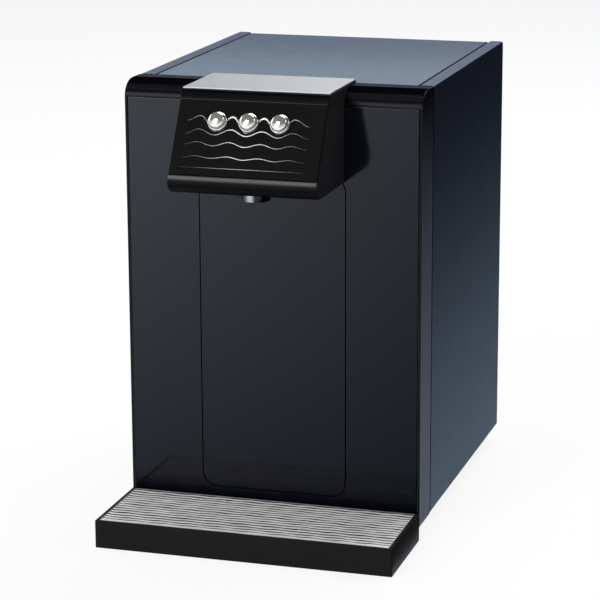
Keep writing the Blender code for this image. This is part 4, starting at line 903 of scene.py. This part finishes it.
tray = slab("tray", tray_low, (tray_high.x, tray_back, tray_high.z))
edges_eased(tray, tray_edge, rounds=3)
pocket = slab("tray_pocket", (tray_low.x + tray_wall, tray_low.y + tray_wall,
                              tray_high.z - grille_sheet - fit_gap),
              (tray_high.x - tray_wall, tray_back - tray_wall, tray_cut_top))
tub = slab("tray_tub", (tray_low.x + tub_inset, tray_low.y + tub_inset, tray_low.z + tray_floor),
           (tray_high.x - tub_inset, tray_back - tub_inset, tray_cut_top))
edges_eased(tub, tub_round, rounds=3)
shaped(tray, pocket)
shaped(tray, tub)
tongue = slab("tray_tongue", (-tongue_half, tray_back - tray_wall, tongue_low),
              (tongue_half, tray_high.y, tongue_high))
shaped(tray, tongue, "UNION")
shaded(tray)

tray_black = Finish("tray_black", Specular_IOR_Level=0.08)
tray_black.set("Base Color", tray_black.mixed(tray_black.grain(0.030), tray_dark, tray_light))
tray_black.set("Roughness", tray_black.varied(0.010, 0.40, 0.54))
tray_black.relief(tray_black.grain(0.0008), 0.00002)
fitted(tray, tray_black, "matt_black", "drip_tray", "drip_tray")

# Tray grille: a silver pressing of fine waving bars in a narrow frame, with two ribs under it, that
# lies loose on the tray's ledge. The bars come from one sheet, each row a little out of step.
grille_low, grille_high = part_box("tray_grille")
grille_rim = 0.0016
grille_edge = 0.0003
field_overrun = 0.001
field_left, field_right = grille_low.x + grille_rim, grille_high.x - grille_rim
field_near, field_far = grille_low.y + grille_rim, grille_high.y - grille_rim
bar_rows = 15
bar_swing = 0.0005
bar_wave = 0.026
bar_half = 0.00165
bar_flat = bar_half * 0.6
bar_steps = 120
bar_bite = 0.0005
bar_sink = 0.0001
crown_drop, shoulder_drop, bar_depth = 0.0001, 0.0005, 0.0011
bar_fold = math.radians(40)
bar_phases = (0.0, 0.3, 0.7, 0.9, 1.3, 1.4, 1.8, 1.9, 1.6, 1.3, 1.2, 0.8, 0.6, 0.5, 0.1)
bar_length = grille_high.x - grille_low.x - 2 * grille_rim
row_pitch = (grille_high.y - grille_low.y - 2 * grille_rim) / bar_rows
rib_half = 0.001
rib_bite = 0.0003
rib_drop = 0.00118
# The sides of the bars are painted near black, painted shade in the grooves, and the grille is
# painted dark along its left and right ends too.
groove_painted_shade = (0.012, 0.012, 0.012, 1)
crown_dark = (0.80, 0.80, 0.78, 1)
crown_light = (1.0, 1.0, 0.98, 1)
rim_fade = (grille_high.x - 0.0006, grille_high.x - 0.0022)

grille = slab("grille", (grille_low.x, grille_low.y, grille_high.z - grille_sheet), grille_high)
edges_eased(grille, grille_edge)
shaped(grille, slab("grille_field", (field_left, field_near, grille_low.z - field_overrun),
                    (field_right, field_far, grille_high.z + field_overrun)))


def waving_bar(name, phase):
    """One bar across the grille, its crown rounded and its sides waving along its length."""
    left = field_left - bar_bite
    step = (bar_length + 2 * bar_bite) / bar_steps
    section = ((-bar_half, -bar_depth), (-bar_half, -shoulder_drop), (-bar_flat, -crown_drop),
               (0, 0), (bar_flat, -crown_drop), (bar_half, -shoulder_drop), (bar_half, -bar_depth))
    piece = line_pulled_out(name, [(left, y, z) for y, z in section])
    bpy.ops.mesh.edge_face_add()
    for i in range(bar_steps):
        swing = [math.sin(math.tau * (i + at) * step / bar_wave + phase * math.pi) for at in (0, 1)]
        move = (step, (swing[1] - swing[0]) * bar_swing, 0)
        bpy.ops.mesh.extrude_region_move(TRANSFORM_OT_translate={"value": move})
    faced_outwards()
    bpy.ops.object.shade_smooth_by_angle(angle=bar_fold)
    return piece


bars = []
for row, phase in enumerate(bar_phases):
    row_y = field_near + row_pitch * (row + 0.5)
    bars.append(put(waving_bar("grille_bar", phase), (0, row_y, grille_high.z - bar_sink)))
for rib_x in (-grille_high.x / 3, grille_high.x / 3):
    bars.append(slab("grille_rib", (rib_x - rib_half, field_near - rib_bite, grille_low.z),
                     (rib_x + rib_half, field_far + rib_bite, grille_high.z - rib_drop)))
taken_up(grille)
for bar in bars:
    bar.select_set(True)
bpy.ops.object.join()

grille_silver = Finish("pressed_silver", Metallic=0.35)
sheen = grille_silver.grain(0.006, (4, 1, 1)).between(0.35, 0.65)
crown = grille_silver.mixed(sheen, crown_dark, crown_light)
# Painted shade: all but the bars' crowns take the dark groove colour, and so do the left and right
# ends.
inside_rim = abs(grille_silver.place("X")).between(*rim_fade)
on_crown = grille_silver.facing("Z").between(0.25, 0.85) * inside_rim
grille_silver.set("Base Color", grille_silver.mixed(on_crown, groove_painted_shade, crown))
grille_silver.set("Roughness", grille_silver.varied(0.004, 0.36, 0.48))
fitted(grille, grille_silver, "stainless", "tray_grille", "tray_grille")

# Pan, feet and connections: a zinc-plated pan on four rubber feet, and at the rear a recessed panel
# with the water inlet, the drain and its cap, the mains inlet and the two rocker switches.
rubber_dark = (0.010, 0.010, 0.010, 1)
rubber_light = (0.019, 0.019, 0.018, 1)
zinc = Finish("zinc_plate", Metallic=1.0)
zinc.patterned(zinc.grain(0.007), (0.40, 0.41, 0.42, 1), (0.56, 0.57, 0.58, 1), 0.30, 0.48)
rubber = Finish("rubber", Specular_IOR_Level=0.25)
rubber.set("Base Color", rubber.mixed(rubber.grain(0.004), rubber_dark, rubber_light))
rubber.set("Roughness", rubber.varied(0.002, 0.72, 0.86))
rubber.relief(rubber.grain(0.0008), 0.00004)
outer_pieces = (
    (zinc, "zinc_steel", 0.0003,
     ("base_pan", "service_panel", "rear_screw_low_left", "rear_screw_low_right",
      "rear_screw_high_left", "rear_screw_high_right")),
    (zinc, "zinc_steel", 0.0002, ("inlet_fitting", "drain_fitting")),
    (rubber, "soft_rubber", 0.0006,
     ("foot_front_left", "foot_front_right", "foot_rear_left", "foot_rear_right")),
    (black, "matt_black", 0.0003, ("power_inlet", "switch_frame")),
    (black, "matt_black", 0.0002, ("heat_rocker", "chill_rocker")),
    (black, "matt_black", 0.0003, ("drain_cap",)),
)
moving = {"heat_rocker", "chill_rocker", "drain_cap"}
for finish, slot, edge, nodes in outer_pieces:
    for node in nodes:
        piece = edges_eased(merged_copy(node, node + "_eased"), edge)
        fitted(piece, finish, slot, node if node in moving else "casing", node)

# Inside: tanks and their foam jackets, valves and hoses, the cooling circuit with its fan, and the
# boards. They are bought parts on a folded bridge, and none of them shows from outside.
steel = Finish("tank_steel", Metallic=1.0)
draw_marks = steel.grain(0.002, (1, 1, 12))
steel.patterned(draw_marks, (0.50, 0.50, 0.49, 1), (0.64, 0.64, 0.62, 1), 0.22, 0.42)
foam = Finish("foam", Specular_IOR_Level=0.2)
beads = foam.grain(0.0035)
foam.patterned(beads, (0.70, 0.70, 0.67, 1), (0.86, 0.86, 0.84, 1), 0.85, 0.95)
foam.relief(beads, 0.0002)
copper = Finish("copper_tube", Metallic=1.0)
copper.patterned(copper.grain(0.008), (0.52, 0.25, 0.15, 1), (0.76, 0.42, 0.28, 1), 0.22, 0.47)
board = Finish("circuit_board", Specular_IOR_Level=0.4)
tracks = board.grain(0.0012).between(0.45, 0.55)
board.patterned(tracks, (0.012, 0.090, 0.040, 1), (0.030, 0.170, 0.080, 1), 0.35, 0.55)
clear = Finish("natural_plastic", Specular_IOR_Level=0.4)
clear.patterned(clear.grain(0.006), (0.62, 0.64, 0.66, 1), (0.78, 0.80, 0.82, 1), 0.32, 0.47)
inner_finishes = (
    (zinc, ("inner_frame", "condenser")),
    (steel, ("cold_tank", "hot_tank")),
    (foam, ("cold_jacket", "hot_jacket")),
    (copper, ("evaporator_coil", "discharge_line")),
    (black, ("cold_valve", "room_valve", "hot_valve", "compressor", "fan_frame", "fan_rotor")),
    (board, ("switch_board", "power_board")),
    (clear, ("outlet_block", "valve_block", "inlet_hose", "cold_feed_hose", "cold_hose",
             "hot_feed_hose", "hot_hose", "room_hose")),
)
for finish, nodes in inner_finishes:
    for node in nodes:
        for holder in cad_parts[node].material_slots:
            holder.material = finish.material

# Studio: a pale floor that keeps the machine's shadow and is seen white, in an even grey room. In
# glossy surfaces the room is light along its walls and dark overhead.
floor_size = 30
floor_grey = (0.86, 0.86, 0.86, 1)
floor_glow = 0.86
paper_white = (1, 1, 1, 1)
gloss_tint = (0.90, 0.985, 1.12, 1)
room_grey = (0.30, 0.30, 0.31, 1)
overhead_dark = (0.08, 0.08, 0.08, 1)
wall_light = (0.56, 0.57, 0.59, 1)


def seen_by(look, ray):
    """1 for light rays of this kind, and 0 for all others."""
    return look.node("ShaderNodeLightPath", {}, {}, "Is " + ray + " Ray")


everything_deselected()
bpy.ops.mesh.primitive_plane_add(size=floor_size)
floor = bpy.context.object
floor.name = "floor"
counter = Finish("pale_counter", Base_Color=floor_grey, Roughness=0.9, Specular_IOR_Level=0.0)
floor_in_gloss = seen_by(counter, "Glossy")
floor_colour = counter.mixed(floor_in_gloss, paper_white, gloss_tint)
glow = counter.node("ShaderNodeEmission", {}, {"Color": floor_colour})
glow_share = counter.maths("MAXIMUM", seen_by(counter, "Camera"), floor_in_gloss) * floor_glow
floor_shader = Signal(counter, counter.shader.outputs[0])
floor_blend = counter.node("ShaderNodeMixShader", {}, {0: glow_share, 1: floor_shader, 2: glow})
counter.feed(counter.tree.nodes["Material Output"].inputs[0], floor_blend)
floor.data.materials.append(counter.material)


class Surroundings(Finish):
    """The world's light, made from nodes in the same way as a finish."""

    def __init__(self, name):
        world = bpy.data.worlds.new(name)
        world.use_nodes = True
        bpy.context.scene.world = world
        self.tree = world.node_tree


studio = Surroundings("studio")
seen_in_gloss = seen_by(studio, "Glossy")
heading = studio.node("ShaderNodeTexCoord", {}, {}, "Generated")
aloft = studio.node("ShaderNodeSeparateXYZ", {}, {0: heading}, "Z")
in_gloss = studio.mixed(aloft.between(0.62, 0.16), overhead_dark, wall_light)
backdrop = studio.mixed(seen_in_gloss, paper_white, in_gloss)
room_light = studio.node("ShaderNodeBackground", {}, {"Color": room_grey})
backdrop_light = studio.node("ShaderNodeBackground", {}, {"Color": backdrop})
seen_directly = studio.maths("MAXIMUM", seen_by(studio, "Camera"), seen_in_gloss)
seen = studio.maths("MAXIMUM", seen_directly, seen_by(studio, "Transmission"))
world_blend = studio.node("ShaderNodeMixShader", {}, {0: seen, 1: room_light, 2: backdrop_light})
studio.feed(studio.tree.nodes["World Output"].inputs[0], world_blend)

# Black cloth: it lies to the right of the machine and hangs behind it, out of the view, and keeps
# the machine's right side as dark as the photograph has it. Only glossy surfaces see it.
cloth_left, cloth_right = 0.135, 1.2
cloth_near, cloth_far = -0.5, 2.5
cloth_low, cloth_high = 0.0010, 0.0020
cloth_hang = (0, 0, 1.0)
cloth_black = (0.004, 0.004, 0.005, 1)
edge_reach = 0.1

cloth = slab("black_cloth", (cloth_left, cloth_near, cloth_low),
             (cloth_right, cloth_far, cloth_high))
bpy.ops.object.mode_set(mode="EDIT")
bpy.ops.mesh.select_all(action="DESELECT")
bpy.ops.object.mode_set(mode="OBJECT")
for edge in cloth.data.edges:
    ends = [cloth.data.vertices[i].co for i in edge.vertices]
    on_top = all(end.z > (cloth_low + cloth_high) / 2 for end in ends)
    at_right = all(end.x > cloth_right - edge_reach for end in ends)
    at_far = all(end.y > cloth_far - edge_reach for end in ends)
    edge.select = on_top and (at_right or at_far)
bpy.ops.object.mode_set(mode="EDIT")
bpy.ops.mesh.extrude_edges_move(TRANSFORM_OT_translate={"value": cloth_hang})
bpy.ops.object.mode_set(mode="OBJECT")
cloth.visible_camera = False
cloth.visible_diffuse = False
cloth.visible_shadow = False
dull = Finish("dull_black", Base_Color=cloth_black, Roughness=0.9, Specular_IOR_Level=0.0)
cloth.data.materials.append(dull.material)

# Lamps: five square soft boxes that all point at the middle of the machine. The key lamp and
# the high lamp stand before it on the left, one hangs over its back, and one is on each side.
lamp_target = Vector((0, 0, 0.2))
lamps = (
    ("key_lamp", (-0.9, -2.3, 1.1), 1.1, 30),
    ("high_lamp", (-0.52, -1.87, 1.59), 0.9, 14),
    ("top_lamp", (0.3, 1.7, 2.3), 1.8, 60),
    ("left_lamp", (-2.2, 0.4, 1.2), 1.4, 10),
    ("right_lamp", (2.2, 0.2, 1.3), 1.4, 12),
)
for name, place, size, power in lamps:
    light = bpy.data.lights.new(name, "AREA")
    light.size = size
    light.energy = power
    lamp = bpy.data.objects.new(name, light)
    bpy.context.scene.collection.objects.link(lamp)
    lamp.location = place
    lamp.rotation_euler = (lamp_target - Vector(place)).to_track_quat("-Z", "Y").to_euler()

# Camera: a long lens a little above the machine and to the right of its front, turned, tipped and
# rolled by the angles that the photograph's own perspective gives.
camera_place = (0.5992, -2.0165, 0.7060)
camera_yaw, camera_pitch, camera_roll = 16.77, 14.12, -0.25
lens_length = 145.7
sensor_width = 36
far_limit = 50

lens = bpy.data.cameras.new("long_lens")
lens.lens = lens_length
lens.sensor_width = sensor_width
lens.clip_end = far_limit
camera = bpy.data.objects.new("long_lens", lens)
bpy.context.scene.collection.objects.link(camera)
camera_turn = (Matrix.Rotation(math.radians(camera_yaw), 3, "Z")
               @ Matrix.Rotation(math.radians(90 - camera_pitch), 3, "X")
               @ Matrix.Rotation(math.radians(camera_roll), 3, "Z"))
camera.location = camera_place
camera.rotation_euler = camera_turn.to_euler()
bpy.context.scene.camera = camera
bpy.context.scene.view_settings.view_transform = "Standard"
